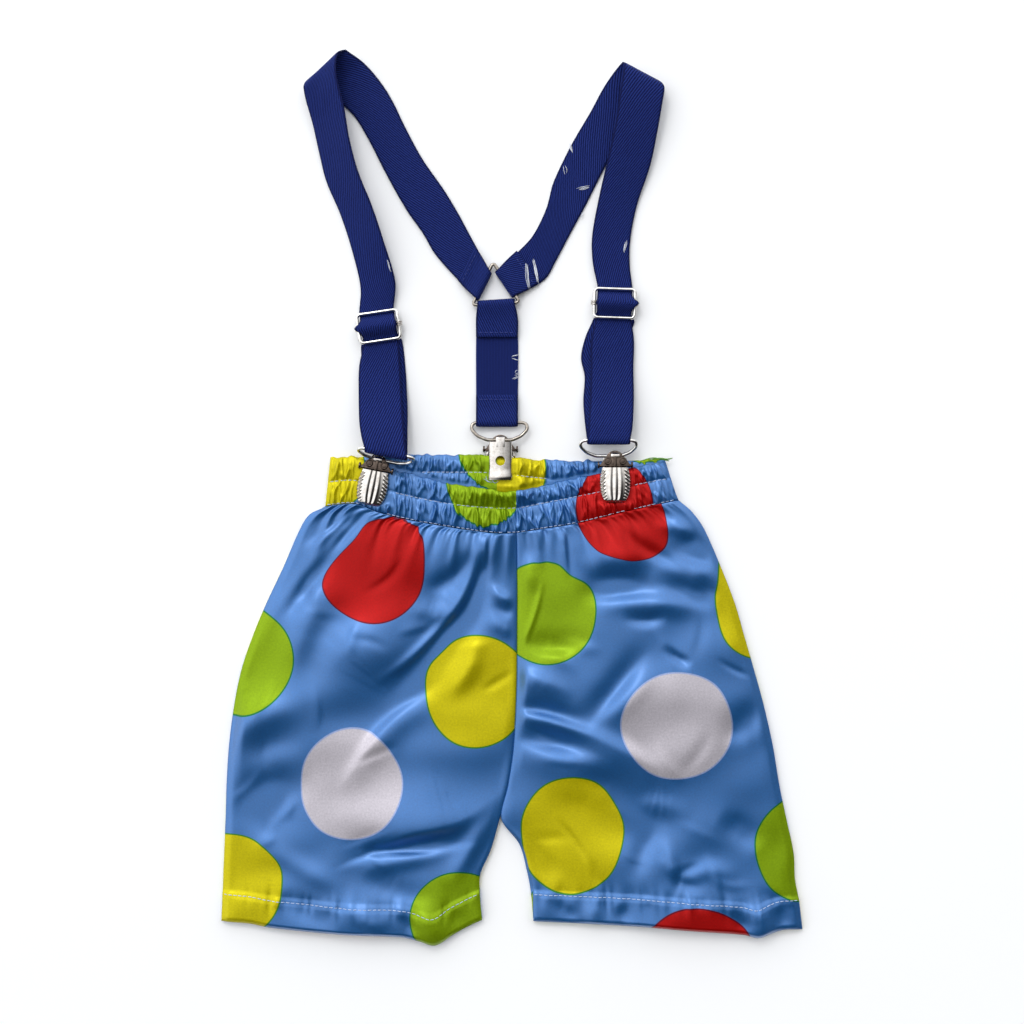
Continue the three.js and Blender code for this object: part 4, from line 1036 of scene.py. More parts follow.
def along_line(line, distances):
    """Points at given distances along a line of points."""
    run = run_along(line)
    return np.stack([np.interp(distances, run, column) for column in line.T], -1)


def tube_faces(first, rings, sides):
    """Faces of a round thread with closed ends, over points that are given ring by ring."""
    faces = []
    for ring in range(rings - 1):
        for n in range(sides):
            a, b = first + ring * sides + n, first + ring * sides + (n + 1) % sides
            faces.append((a, b, b + sides, a + sides))
    last = first + (rings - 1) * sides
    return faces + [tuple(range(first + sides - 1, first - 1, -1)), tuple(range(last, last + sides))]


def stitches(name, lines, finish, slot, seed, hidden=()):
    """All the stitches along some lines of points, as one piece, but for those that a clip hides."""
    draw = np.random.default_rng(seed)
    points, faces = [], []
    for line in lines:
        starts = np.arange(1.0, run_along(line)[-1] - stitch_long, stitch_pitch)
        starts = starts + draw.uniform(-0.12, 0.12, len(starts))
        for start, end in zip(along_line(line, starts), along_line(line, starts + stitch_long)):
            if hidden and on_pads(hidden, start[0], start[1], 0.5) > 0.5:
                continue
            run = (end - start) / np.linalg.norm(end - start)
            side = np.cross((0, 0, 1), run)
            side = side / np.linalg.norm(side)
            up = np.cross(run, side)
            sway = draw.uniform(-0.18, 0.18)
            first = len(points)
            for along, thick, rise in stitch_shape:
                middle = start + (end - start) * (along + 0.5) + up * rise + side * sway * along
                for n in range(thread_sides):
                    turn = 2 * math.pi * n / thread_sides
                    around = math.cos(turn) * side + math.sin(turn) * up
                    points.append(middle + stitch_radius * thick * around)
            faces += tube_faces(first, len(stitch_shape), thread_sides)
    return declared(new_piece(name, points, faces, finish), slot)


def across_grid(top, share):
    """A line of points across a grid, at a share of the way down it that may differ along it."""
    row = np.clip(np.broadcast_to(share, top.shape[1]) * (len(top) - 1), 0, len(top) - 1.001)
    low = row.astype(int)
    part = (row - low)[:, None]
    columns = np.arange(top.shape[1])
    return top[low, columns] * (1 - part) + top[low + 1, columns] * part


pale_thread = thread_finish("pale blue thread", colour(192, 208, 236))
front_clips = [(-78.6, 7.0, 10.0, 15.5), (58.8, 8.5, 10.0, 15.5)]
back_clip = [(-6.6, 22.0, 8.0, 14.0)]
lower_edge = 0.975
waist_lines = [across_grid(front_waist_top, share) for share in (1 - front_split, lower_edge)]
stitches("waist_stitches_front", waist_lines, pale_thread, "satin", seed=5, hidden=front_clips)
back_line = across_grid(back_waist_top, 1 - back_split)
back_line = back_line[above_front(back_line[:, 0], back_line[:, 1]) > 0.5]
stitches("waist_stitches_back", [back_line], pale_thread, "satin", seed=6, hidden=back_clip)
hem_lines = [across_grid(top, hem_stitch_station / last_station) for top in front_tops]
stitches("hem_stitches", hem_lines, pale_thread, "satin", seed=7)

# ---- Ring ----------------------------------------------------------------------------------
# A triangle of 2 mm nickel-plated wire, bent and butted, that joins the three straps. Each strap
# is sewn round one of its sides.

wire = 1.0
wire_gap = 0.35
elastic_wall = 1.2
wrap_radius = wire + wire_gap + elastic_wall / 2
ring_corners = np.array([(-10.8, 134.8, 3.1), (-22.8, 110.2, 3.1), (4.6, 111.9, 3.1)])
ring_top, ring_left, ring_right = ring_corners

# Worn plating: a mottled shine with fine scratches, and a little tarnish in random patches
worn_plate, plate_in, plate_out = group_of(
    "worn plating", {"Place": "Vector"}, {"Tarnish": "Float", "Gloss": "Float", "Height": "Float"}
)
smear = noise(worn_plate, plate_in["Place"], 320, 4, 0.6)
brushed = vector_maths(worn_plate, "MULTIPLY", plate_in["Place"], (1, 0.08, 1))
scratches = noise(worn_plate, brushed, 5200, 3, 0.7)
set_sockets(
    worn_plate,
    plate_out,
    Tarnish=spread(worn_plate, smear, 0.42, 0.85, 0, 1),
    Gloss=plus(worn_plate, smear, scratches, 0.5),
    Height=scratches,
)


def plated(name, bright, dull, smooth_side, rough_side):
    """Plated metal between two colours and two roughnesses."""
    finish, tree, shader = new_finish(name)
    worn = use_group(tree, worn_plate, Place=new_node(tree, "TexCoord").outputs["Object"])
    set_sockets(
        tree,
        shader,
        Base_Color=mix_colour(tree, worn["Tarnish"], bright, dull),
        Roughness=spread(tree, worn["Gloss"], 0.45, 1.0, smooth_side, rough_side),
        Normal=bumped(tree, worn["Height"], strength=0.12, distance=0.02),
        Metallic=1.0,
    )
    return finish


nickel = plated("nickel plate", colour(214, 209, 203), colour(172, 162, 152), 0.08, 0.2)
bright_wire = plated("bright nickel wire", colour(238, 236, 232), colour(176, 171, 163), 0.06, 0.2)
# A darker copy of the same wire: painted shade for the ring and the back clip's loop, which lie low under the
# elastic
shade_painted_wire = plated("nickel wire with painted shade", colour(172, 164, 154), colour(96, 88, 80), 0.1, 0.26)
dark_nickel = plated("dark nickel plate", colour(96, 84, 76), colour(44, 38, 35), 0.14, 0.34)


def finish_piece(piece, name, finish, slot, *nodes):
    """Names a piece that is done, gives it its metal, and says what it stands for."""
    piece.name = name
    piece.data.name = name
    piece.data.materials.clear()
    piece.data.materials.append(finish)
    declared(piece, slot, *nodes)


def select_only(*pieces):
    """Selects these pieces and no others. The first one is the active one."""
    bpy.ops.object.select_all(action="DESELECT")
    for piece in reversed(pieces):
        piece.select_set(True)
        bpy.context.view_layer.objects.active = piece


def in_place(piece, matrix=None):
    """Moves a piece's place and turn into its mesh, after a turn into the frame of its clip."""
    if matrix is not None:
        piece.matrix_world = matrix @ piece.matrix_world
    select_only(piece)
    bpy.ops.object.transform_apply(location=True, rotation=True, scale=True)
    return piece


def recalculated(piece):
    """Closes doubles and turns every face of a finished solid outwards."""
    select_only(piece)
    bpy.ops.object.mode_set(mode="EDIT")
    bpy.ops.mesh.select_all(action="SELECT")
    bpy.ops.mesh.remove_doubles(threshold=0.00001)
    bpy.ops.mesh.normals_make_consistent(inside=False)
    bpy.ops.object.mode_set(mode="OBJECT")
    return piece


def bent_wire(corners, bend, radius=wire, steps=5):
    """A closed loop of round wire with rounded corners, given in millimetres."""
    select_only()
    bpy.ops.mesh.primitive_circle_add(vertices=len(corners), fill_type="NOTHING")
    piece = bpy.context.active_object
    for vertex, corner in zip(piece.data.vertices, corners):
        vertex.co = Vector(corner) * mm
    bpy.ops.object.mode_set(mode="EDIT")
    bpy.ops.mesh.select_all(action="SELECT")
    bpy.ops.mesh.bevel(offset=bend * mm, segments=steps, affect="VERTICES", clamp_overlap=True)
    bpy.ops.object.mode_set(mode="OBJECT")
    bpy.ops.object.convert(target="CURVE")
    piece = bpy.context.active_object
    piece.data.bevel_depth = radius * mm
    piece.data.bevel_resolution = 4
    bpy.ops.object.convert(target="MESH")
    piece = bpy.context.active_object
    recalculated(piece)
    bpy.ops.object.shade_smooth()
    return piece


ring_bend = 2.4
# The ring's wire is the darker copy: painted shade under the straps' sewn ends
finish_piece(bent_wire(ring_corners, ring_bend), "wire_triangle", shade_painted_wire, "nickel", "ring_triangle")

# ---- Sliders -------------------------------------------------------------------------------
# Each adjuster is a frame of nickel wire with a middle bar that is curled round the frame's
# sides. The strap goes over the bar, and its sewn end is held round the bar from below.

slider_half_wide, slider_half_high, slider_z = 11.6, 8.2, 4.2
slider_bar_radius = 0.9
curl_radius, curl_wire, curl_turns = 1.72, 0.4, (-0.9, 0.0, 0.9)
slider_bend = 2.2
slider_places = {"left": (-76.2, 98.0, 8.5), "right": (58.6, 111.2, -2)}
slider_matrix = {
    side: Matrix.Translation(Vector((x, y, slider_z)) * mm) @ Matrix.Rotation(math.radians(turn), 4, "Z")
    for side, (x, y, turn) in slider_places.items()
}


def joined(pieces):
    select_only(*pieces)
    bpy.ops.object.join()
    return bpy.context.active_object


def smoothed(piece, angle=40):
    select_only(piece)
    bpy.ops.object.shade_smooth_by_angle(angle=math.radians(angle))
    return piece


# Turns that bring an upright axis to lie along X, Y or Z
axis_turns = {"X": (0, math.pi / 2, 0), "Y": (math.pi / 2, 0, 0), "Z": (0, 0, 0)}


def ring_at(place, major, minor, axis="Z", segments=28):
    """A ring of round wire about an axis along X, Y or Z."""
    select_only()
    bpy.ops.mesh.primitive_torus_add(
        location=Vector(place) * mm,
        rotation=axis_turns[axis],
        major_radius=major * mm,
        minor_radius=minor * mm,
        major_segments=segments,
        minor_segments=10,
    )
    return in_place(bpy.context.active_object)


def round_bar(radius, length, place, axis, sides=24, bevel=0.25):
    """A bar with softened ends, along X, Y or Z."""
    select_only()
    bpy.ops.mesh.primitive_cylinder_add(
        vertices=sides,
        radius=radius * mm,
        depth=length * mm,
        location=Vector(place) * mm,
        rotation=axis_turns[axis],
    )
    piece = bpy.context.active_object
    in_place(piece)
    bpy.ops.object.mode_set(mode="EDIT")
    bpy.ops.mesh.select_all(action="DESELECT")
    bpy.ops.object.mode_set(mode="OBJECT")
    for polygon in piece.data.polygons:
        polygon.select = len(polygon.vertices) == sides
    bpy.ops.object.mode_set(mode="EDIT")
    bpy.ops.mesh.select_mode(type="FACE")
    bpy.ops.mesh.bevel(offset=bevel * mm, segments=2, affect="EDGES")
    bpy.ops.mesh.select_mode(type="VERT")
    bpy.ops.object.mode_set(mode="OBJECT")
    return piece


slider_corners = [
    (x * slider_half_wide, y * slider_half_high, 0) for x, y in ((1, 1), (-1, 1), (-1, -1), (1, -1))
]
for side, matrix in slider_matrix.items():
    slider_frame = in_place(bent_wire(slider_corners, slider_bend), matrix)
    finish_piece(slider_frame, f"slider_wire_{side}", bright_wire, "nickel", f"slider_frame_{side}")
    bar_parts = [round_bar(slider_bar_radius, 2 * slider_half_wide - 2, (0, 0, 0), "X")]
    for x in (-slider_half_wide, slider_half_wide):
        for y in curl_turns:
            bar_parts.append(ring_at((x, y, 0), curl_radius, curl_wire, "Y", 24))
    slider_bar = smoothed(in_place(joined(bar_parts), matrix))
    finish_piece(slider_bar, f"slider_middle_{side}", nickel, "nickel", f"slider_bar_{side}")

# ---- Clips ---------------------------------------------------------------------------------
# Three stamped steel clips: a jaw plate with a punched hole, a hood with the hinge, a D-shaped
# wire held in a rolled barrel, and a ribbed lever cover. In a clip's own frame the barrel is at
# y = 0 and the cloth comes in from below, between the jaw plate and the cover.

clip_places = {
    "left": dict(place=(-76.4, 21.9, 4.6), turn=-11, flipped=False, tilt=63, shift=4.5),
    "right": dict(place=(58.8, 24.0, 4.6), turn=0, flipped=False, tilt=32, shift=-4),
    "back": dict(place=(-6.6, 33.1, 4.8), turn=0, flipped=True, tilt=10, shift=0.6),
}
loop_half = [(7.2, 0), (12.6, 2.4), (16.0, 6.2), (15.8, 9.0), (13.6, 10.2)]
loop_outline = loop_half + [(-x, up) for x, up in reversed(loop_half)]
loop_height, loop_bar_half, loop_bend = 10.2, 12.2, 1.3
jaw_half_wide, jaw_top, jaw_bottom, jaw_near, jaw_far = 6.6, -1.2, -22.8, -2.3, -1.3
hole_radius, hole_y = 2.85, -12.0
least_bow, back_bow = 0.7, 1.3
jaw_wall = 0.7
barrel_radius, barrel_long = 2.35, 5.2
hood_half_wide, hood_top, hood_bottom, hood_near, hood_far = 9.4, -1.2, -6.4, 1.3, 3.5
boss_x, boss_y, boss_radius, eye_radius = 4.3, -2.9, 2.2, 1.65
post_radius, post_long, post_place = 5.6, 1.7, (0, -2.6, 0.35)
hinge_y, hinge_z, hinge_radius, lug_radius = -5.6, 2.2, 0.8, 1.9
cover_half_wide, cover_top, cover_bottom = 9.2, -6.7, -26.4
cover_edge, cover_dome, cover_wall = 2.4, 2.0, 0.8
rib_high, groove_deep, flute_high, flute_pitch = 0.42, -0.3, 0.42, 2.1


def clip_matrix(place, turn, flipped):
    over = Matrix.Rotation(math.pi if flipped else 0, 4, "Y")
    return Matrix.Translation(Vector(place) * mm) @ over @ Matrix.Rotation(math.radians(turn), 4, "Z")


def shaped_grid(columns, rows, shape):
    """A grid of points, added flat and moved to the shape that a function gives."""
    select_only()
    bpy.ops.mesh.primitive_grid_add(x_subdivisions=columns, y_subdivisions=rows, size=2)
    piece = bpy.context.active_object
    flat = np.zeros(3 * len(piece.data.vertices), np.float32)
    piece.data.vertices.foreach_get("co", flat)
    u, v = flat.reshape(-1, 3)[:, 0].astype(float), flat.reshape(-1, 3)[:, 1].astype(float)
    piece.data.vertices.foreach_set("co", (stack(*shape(u, v)) * mm).astype(np.float32).ravel())
    piece.data.update()
    return piece


def with_modifier(piece, kind, **settings):
    modifier = piece.modifiers.new(kind.lower(), kind)
    for name, value in settings.items():
        setattr(modifier, name, value)
    select_only(piece)
    bpy.ops.object.modifier_apply(modifier=modifier.name)
    return piece


def cover_shape(u, v):
    """The lever cover: domed, three ribs down its middle, slanted flutes along both edges, and
    round lower corners."""
    down = (1 - v) / 2
    y = cover_top + (cover_bottom - cover_top) * down
    round_off = np.clip((down - 0.72) / 0.28, 0, 1)
    swelling = 0.84 + 0.16 * np.sin(math.pi * np.clip(down * 1.1, 0, 1))
    x = cover_half_wide * swelling * np.sqrt(1 - 0.52 * round_off**2.6) * u
    reach = np.abs(u)
    dome = cover_dome * (1 - reach**2.4) * (1 - 0.35 * (2 * down - 1) ** 2)
    ribs = sum(rib_high * np.exp(-(((u - middle) / 0.085) ** 2)) for middle in (-0.34, 0.0, 0.34))
    grooves = sum(groove_deep * np.exp(-(((u - middle) / 0.05) ** 2)) for middle in (-0.17, 0.17))
    in_edge = step(reach, 0.6, 0.72) * step(down, 0.04, 0.12) * (1 - step(down, 0.86, 0.95))
    flutes = flute_high * in_edge * np.sin(2 * math.pi * (y + 0.75 * np.abs(x)) / flute_pitch)
    fade = 1 - step(down, 0.9, 1.0)
    turned_down = -1.1 * step(reach, 0.93, 1.0) - 1.0 * step(down, 0.94, 1.0)
    return x, y, cover_edge + dome + (ribs + grooves) * fade + flutes + turned_down


def jaw_shape(u, v, bow):
    """The jaw plate: bowed a little across, its foot spread and curled away from the cloth."""
    down = (1 - v) / 2
    y = jaw_top + (jaw_bottom - jaw_top) * down
    flare = step(down, 0.68, 1.0)
    x = jaw_half_wide * u * (0.95 + 0.05 * flare)
    bowl = -0.75 * flare * (1 - u**2) + 0.5 * step(down, 0.93, 1.0)
    sides = 0.55 * step(np.abs(u), 0.9, 1.0)
    return x, y, jaw_far - 0.25 + bowl + sides - bow * (1 - u**2)


def plain_block(low, high, bevel, taper=1.0):
    """A block between two corners with rounded edges, narrowed towards +Y by a taper."""
    select_only()
    bpy.ops.mesh.primitive_cube_add(size=1)
    piece = bpy.context.active_object
    for vertex in piece.data.vertices:
        share = [0.5 + c for c in vertex.co]
        place = [lo + (hi - lo) * part for lo, hi, part in zip(low, high, share)]
        if share[1] > 0.5:
            place[0] *= taper
        vertex.co = Vector(place) * mm
    return with_modifier(piece, "BEVEL", width=bevel * mm, segments=3, limit_method="NONE")


def clip_hood():
    """The stamped hood: a tapered block with a middle ridge, a round post under it, two bosses with
    an eye each, and a lug at each end of the hinge pin."""
    near, far = (-hood_half_wide, hood_bottom, hood_near), (hood_half_wide, hood_top, hood_far - 0.7)
    parts = [
        plain_block(near, far, 0.35, 0.62),
        plain_block((-0.9, hood_bottom, hood_far - 1.2), (0.9, hood_top + 0.8, hood_far + 0.2), 0.4),
        round_bar(post_radius, post_long, post_place, "Z", 40, 0.4),
        round_bar(hinge_radius, 2 * hood_half_wide + 1.4, (0, hinge_y, hinge_z), "X"),
    ]
    for x in (-boss_x, boss_x):
        parts.append(round_bar(boss_radius, 1.5, (x, boss_y, hood_far - 0.75), "Z", 28, 0.3))
        parts.append(ring_at((x, boss_y, hood_far), eye_radius, 0.42))
    for x in (-1, 1):
        lug_place = (x * (hood_half_wide + 0.1), hinge_y + 0.4, hinge_z - 0.2)
        parts.append(round_bar(lug_radius, 1.0, lug_place, "X"))
    return joined(parts)


def cut_by(piece, cutter):
    """Cuts a second solid out of a piece, and removes that one."""
    with_modifier(piece, "BOOLEAN", operation="DIFFERENCE", object=cutter, solver="EXACT")
    bpy.data.objects.remove(cutter)


def clip_jaw(bow):
    """The jaw plate with its hole, its tongue and the barrel rolled round the wire."""
    plate = shaped_grid(26, 40, lambda u, v: jaw_shape(u, v, bow))
    deeper = bow - least_bow
    with_modifier(plate, "SOLIDIFY", thickness=jaw_wall * mm, offset=0)
    cut_by(plate, round_bar(hole_radius, 6, (0, hole_y, jaw_near), "Z", 40, 0.05))
    rim = ring_at((0, hole_y, jaw_near + 0.2 - deeper), hole_radius + 0.1, 0.28)
    barrel_tube = round_bar(barrel_radius, barrel_long, (0, 0, 0), "X", 32, 0.5)
    cut_by(barrel_tube, round_bar(wire + wire_gap, 8, (0, 0, 0), "X", 24, 0.05))
    tongue = plain_block((-2.6, -4.4, jaw_near - 0.25 - deeper), (2.6, 1.4, jaw_near + 0.75), 0.45)
    return joined([plate, rim, barrel_tube, tongue])


for side, clip in clip_places.items():
    matrix = clip_matrix(clip["place"], clip["turn"], clip["flipped"])
    lean = math.radians(clip["tilt"])
    loop_corners = [(x + clip["shift"], up * math.cos(lean), up * math.sin(lean)) for x, up in loop_outline]
    loop_wire = in_place(bent_wire(loop_corners, loop_bend, steps=3), matrix)
    # The back clip's loop, turned under, takes the darker copy: painted shade under the back strap
    wire_finish = shade_painted_wire if clip["flipped"] else bright_wire
    finish_piece(loop_wire, f"clip_wire_{side}", wire_finish, "nickel", f"clip_loop_{side}")
    jaw = smoothed(in_place(clip_jaw(back_bow if clip["flipped"] else least_bow), matrix))
    finish_piece(jaw, f"clip_jaw_{side}", nickel, "nickel", f"clip_body_{side}")
    hood = smoothed(in_place(clip_hood(), matrix))
    finish_piece(hood, f"clip_hood_{side}", dark_nickel, "dark_nickel")
    lever = shaped_grid(64, 80, cover_shape)
    with_modifier(lever, "SOLIDIFY", thickness=cover_wall * mm, offset=-1)
    smoothed(in_place(lever, matrix))
    finish_piece(lever, f"clip_lever_{side}", nickel, "nickel", f"clip_cover_{side}")

# ---- Braces --------------------------------------------------------------------------------
# Woven navy twill elastic, 25 mm wide. Each side is one length: sewn round the ring, up over the
# shoulder, through the slider, round the clip's wire, and sewn round the slider's bar.

strap_rest = 0.8
layer_lift = strap_rest + elastic_wall


def strap(*rows):
    """Lines across a strap, each as its edge A and its edge B."""
    return np.array(rows, float).reshape(-1, 2, 3)


def flipped_over(lines):
    return lines[:, ::-1]


def round_wire(a, b, outward, radius, start, end, steps=8):
    """Lines of a strap round a straight wire from a to b. Angles are up from the outward side."""
    angles = np.radians(np.linspace(start, end, steps + 1))[:, None]
    offset = radius * (np.cos(angles) * outward + np.sin(angles) * np.array((0, 0, 1.0)))
    return np.stack([a + offset, b + offset], 1)


strap_wide = 25.0
ribbon_step = 1.3
thinnest_edge = 0.14
# Where the points of a strap lie across it, from its edge A at 0 to its edge B at 1
strap_columns = np.array([0, 0.012, 0.035, 0.1, 0.22, 0.36, 0.5, 0.64, 0.78, 0.9, 0.965, 0.988, 1])


def ribbon(name, lines, finish, *nodes):
    """A flat elastic of even thickness with rounded edges, along smooth lines. Returns it, and the
    points of its two faces."""
    run = run_along(lines.mean(1))
    at = np.linspace(0, run[-1], int(run[-1] / ribbon_step) + 1)
    edge_a, edge_b = smooth_line(run, lines[:, 0], at), smooth_line(run, lines[:, 1], at)
    length = run_along((edge_a + edge_b) / 2)
    share = strap_columns[:, None]
    centre = edge_a[:, None] * (1 - share) + edge_b[:, None] * share
    normal = np.cross(np.gradient((edge_a + edge_b) / 2, axis=0), edge_b - edge_a)
    normal /= np.linalg.norm(normal, axis=1)[:, None]
    thick = elastic_wall / 2 * (1 - np.abs(2 * share - 1) ** 14) ** 0.5
    offset = normal[:, None] * np.maximum(thick, thinnest_edge)
    fabric = stack(strap_columns * strap_wide, length[:, None])
    piece = cloth_shell(name, centre + offset, centre - offset, fabric, finish)
    declared(piece, "elastic", *nodes)
    return piece, (centre + offset, centre - offset)


rib_across, rib_along = 1.45, 2.85
woven_ribs, rib_in, rib_out = group_of(
    "woven ribs", {"Fabric": "Vector", "Slant": "Float"}, {"Rib": "Float", "Fuzz": "Float", "Height": "Float"}
)
rib_place = split(woven_ribs, rib_in["Fabric"])
wander = noise(woven_ribs, rib_in["Fabric"], 700, 2)
across_turns = maths(woven_ribs, "MULTIPLY", rib_place[0], 1 / (rib_across * mm))
along_turns = maths(woven_ribs, "MULTIPLY", rib_place[1], 1 / (rib_along * mm))
slanted = plus(woven_ribs, across_turns, along_turns, rib_in["Slant"])
rib_wave = sine(woven_ribs, plus(woven_ribs, slanted, wander, 0.5), 2 * math.pi)
pick_wave = sine(woven_ribs, along_turns, 2 * math.pi * 3.1)
fuzz = noise(woven_ribs, rib_in["Fabric"], 2400, 3, 0.7)
set_sockets(
    woven_ribs,
    rib_out,
    Rib=spread(woven_ribs, rib_wave, -1, 1, 0, 1),
    Fuzz=fuzz,
    Height=maths(woven_ribs, "ADD", plus(woven_ribs, rib_wave, pick_wave, 0.3), fuzz),
)
rib_dark, rib_light = colour(1, 5, 44), colour(33, 50, 122)
selvage, selvage_fade = 1.3, 0.4
fine_line_pitch = 0.9


def elastic(name, slant, wrong_side=None):
    """Twill elastic: slanted ribs, and a smoother selvage along both edges. Wrong side is the stretch,
    in metres along the elastic, where its plain back shows, with only fine lines along it."""
    finish, tree, shader = new_finish(name)
    fabric = new_node(tree, "UVMap", uv_map="fabric").outputs[0]
    parts = split(tree, fabric)
    ribs = use_group(tree, woven_ribs, Fabric=fabric, Slant=slant)
    off_middle = maths(tree, "ABSOLUTE", maths(tree, "SUBTRACT", parts[0], strap_wide / 2 * mm))
    ribs_end = strap_wide / 2 - selvage
    inside = spread(tree, off_middle, ribs_end * mm, (ribs_end + selvage_fade) * mm, 1, 0.25, soft=True)
    rib_share = maths(tree, "MULTIPLY", ribs["Rib"], inside)
    raised = ribs["Height"]
    if wrong_side is not None:
        after_start = maths(tree, "GREATER_THAN", parts[1], wrong_side[0])
        before_end = maths(tree, "LESS_THAN", parts[1], wrong_side[1])
        plain = maths(tree, "MULTIPLY", after_start, before_end)
        fine_lines = sine(tree, parts[0], 2 * math.pi / (fine_line_pitch * mm))
        plain_share = spread(tree, fine_lines, -1, 1, 0.22, 0.6)
        twill = maths(tree, "SUBTRACT", 1.0, plain)
        rib_share = maths(tree, "MULTIPLY_ADD", rib_share, twill, maths(tree, "MULTIPLY", plain_share, plain))
        raised = maths(tree, "MULTIPLY_ADD", raised, twill, maths(tree, "MULTIPLY", fine_lines, plain))
    mottled = maths(tree, "ADD", rib_share, spread(tree, ribs["Fuzz"], 0.3, 0.75, -0.12, 0.3))
    set_sockets(
        tree,
        shader,
        Base_Color=mix_colour(tree, maths(tree, "MAXIMUM", mottled, 0.0), rib_dark, rib_light),
        Normal=bumped(tree, maths(tree, "MULTIPLY", raised, inside), strength=0.7, distance=0.16),
        Roughness=spread(tree, ribs["Fuzz"], 0.3, 0.7, 0.62, 0.85),
        Specular_IOR_Level=0.08,
        Sheen_Weight=0.012,
        Sheen_Roughness=0.5,
    )
    return finish


rear_left = strap(
    (-24.0, 150.5, 0.8, -43.0, 138.5, 0.8),
    (-31.0, 163.5, 0.8, -51.4, 152.2, 0.8),
    (-38.8, 176.4, 0.8, -60.5, 165.2, 0.8),
    (-51.5, 194.7, 0.8, -71.5, 184.5, 0.8),
    (-61.7, 213.6, 0.8, -82.5, 206.0, 0.8),
    (-68.3, 227.3, 0.8, -90.5, 219.0, 0.8),
    (-75.0, 238.0, 0.9, -99.0, 227.0, 0.8),
    (-84.5, 248.8, 2.2, -110.0, 233.5, 1.2),
    (-93.8, 254.6, 7.0, -117.6, 237.4, 3.8),
)
front_left_rows = strap(
    (-118.1, 237.3, 4.5, -94.6, 254.9, 7.8),
    (-118.6, 233.6, 7.0, -98.4, 251.2, 13.2),
    (-117.4, 226.5, 6.0, -99.0, 239.0, 15.6),
    (-113.8, 213.5, 4.0, -94.8, 221.0, 15.2),
    (-110.2, 197.0, 2.4, -91.6, 202.0, 14.4),
    (-106.4, 181.6, 1.4, -87.0, 184.6, 13.2),
    (-98.2, 162.2, 1.2, -79.4, 165.6, 11.8),
    (-91.4, 141.0, 1.2, -72.6, 145.0, 9.6),
    (-86.8, 120.5, 1.4, -66.6, 123.5, 5.0),
)
tail_left_upper = strap(
    (-87.4, 75.0, 3.4, -63.8, 75.0, 3.4),
    (-87.3, 58.0, 6.8, -62.7, 58.0, 6.8),
    (-86.3, 42.0, 12.0, -61.2, 41.0, 12.0),
    (-84.6, 33.0, 14.8, -60.0, 29.5, 14.8),
)
tail_left_under = strap(
    (-84.0, 36.5, 10.2, -59.2, 34.5, 10.2),
    (-84.6, 48.0, 6.0, -59.4, 48.0, 6.0),
    (-85.2, 62.0, 2.2, -60.2, 62.0, 2.2),
    (-86.0, 76.0, 0.7, -61.2, 76.0, 0.7),
)
rear_right = strap(
    (9.0, 146.8, 0.8, 19.0, 125.6, 0.8),
    (14.6, 155.0, 0.8, 25.4, 136.4, 0.8),
    (20.0, 167.0, 0.8, 33.2, 151.2, 0.8),
    (23.4, 180.0, 0.8, 42.0, 167.4, 0.8),
    (28.6, 191.8, 0.8, 49.0, 181.4, 0.8),
    (35.6, 205.4, 0.8, 56.6, 196.0, 0.8),
    (45.1, 221.5, 0.8, 66.0, 211.0, 0.8),
    (52.4, 235.0, 1.0, 76.6, 224.0, 1.0),
    (58.6, 244.0, 2.2, 82.4, 231.8, 1.8),
    (62.8, 248.4, 5.6, 85.4, 236.8, 4.6),
)
front_right_rows = strap(
    (85.6, 236.7, 5.3, 63.2, 248.3, 6.3),
    (86.6, 232.8, 9.0, 63.4, 244.6, 10.6),
    (85.4, 224.5, 9.2, 61.6, 232.5, 10.8),
    (83.2, 211.0, 7.4, 59.0, 214.5, 8.6),
    (79.0, 190.0, 4.0, 54.4, 192.5, 5.6),
    (71.6, 167.6, 1.6, 49.6, 171.4, 3.8),
    (67.8, 148.0, 1.6, 45.8, 149.4, 2.6),
    (67.4, 134.0, 1.8, 46.2, 135.0, 2.4),
)
tail_right_upper = strap(
    (45.2, 90.0, 2.6, 69.8, 90.0, 2.6),
    (45.0, 74.0, 3.4, 69.4, 74.0, 3.4),
    (44.4, 57.0, 6.4, 69.4, 57.0, 6.4),
    (43.2, 41.0, 10.8, 68.4, 41.0, 10.8),
)
tail_right_under = strap(
    (41.4, 44.0, 6.0, 66.4, 44.0, 6.0),
    (40.8, 56.0, 2.8, 66.0, 56.0, 2.8),
    (41.6, 70.0, 0.9, 66.6, 70.0, 0.9),
    (39.6, 80.5, 0.7, 65.0, 80.5, 0.7),
    (42.0, 92.0, 0.7, 67.0, 92.0, 0.7),
)
ring_clear_top, ring_clear_low, flap_length = 5.0, 4.5, 15.0
in_slider_half, in_slider_low, in_slider_high = 10.0, 2.25, 7.6
in_slider_swell = {"left": (3.8, 0.5), "right": (0.5, 3.8)}
in_slider_places = (9.6, 8.2, 6.2, 4.4, 2.6, 0, -2.6, -4.4, -6.2, -8.2)
bar_wrap_half = 9.0


def moved(matrix, points):
    """Points in millimetres, moved by a matrix that is in metres."""
    return np.array([(matrix @ (Vector(point) * mm)) / mm for point in points])


def slider_line(side, half, y, z):
    return moved(slider_matrix[side], [(x, y, z - slider_z) for x in (-half, half)])


def through_slider(side):
    """The strap under the frame's upper wire, over its middle bar and under its lower wire."""
    lines = []
    for y in in_slider_places:
        hump = math.cos(math.pi / 2 * min(1, abs(y) / slider_half_high)) ** 2
        swell = [most * step(hump, 0.68, 0.95) for most in in_slider_swell[side]]
        z = in_slider_low + (in_slider_high - in_slider_low) * hump
        ends = (-in_slider_half - swell[0], in_slider_half + swell[1])
        lines.append(moved(slider_matrix[side], [(x, y, z - slider_z) for x in ends]))
    return np.array(lines)


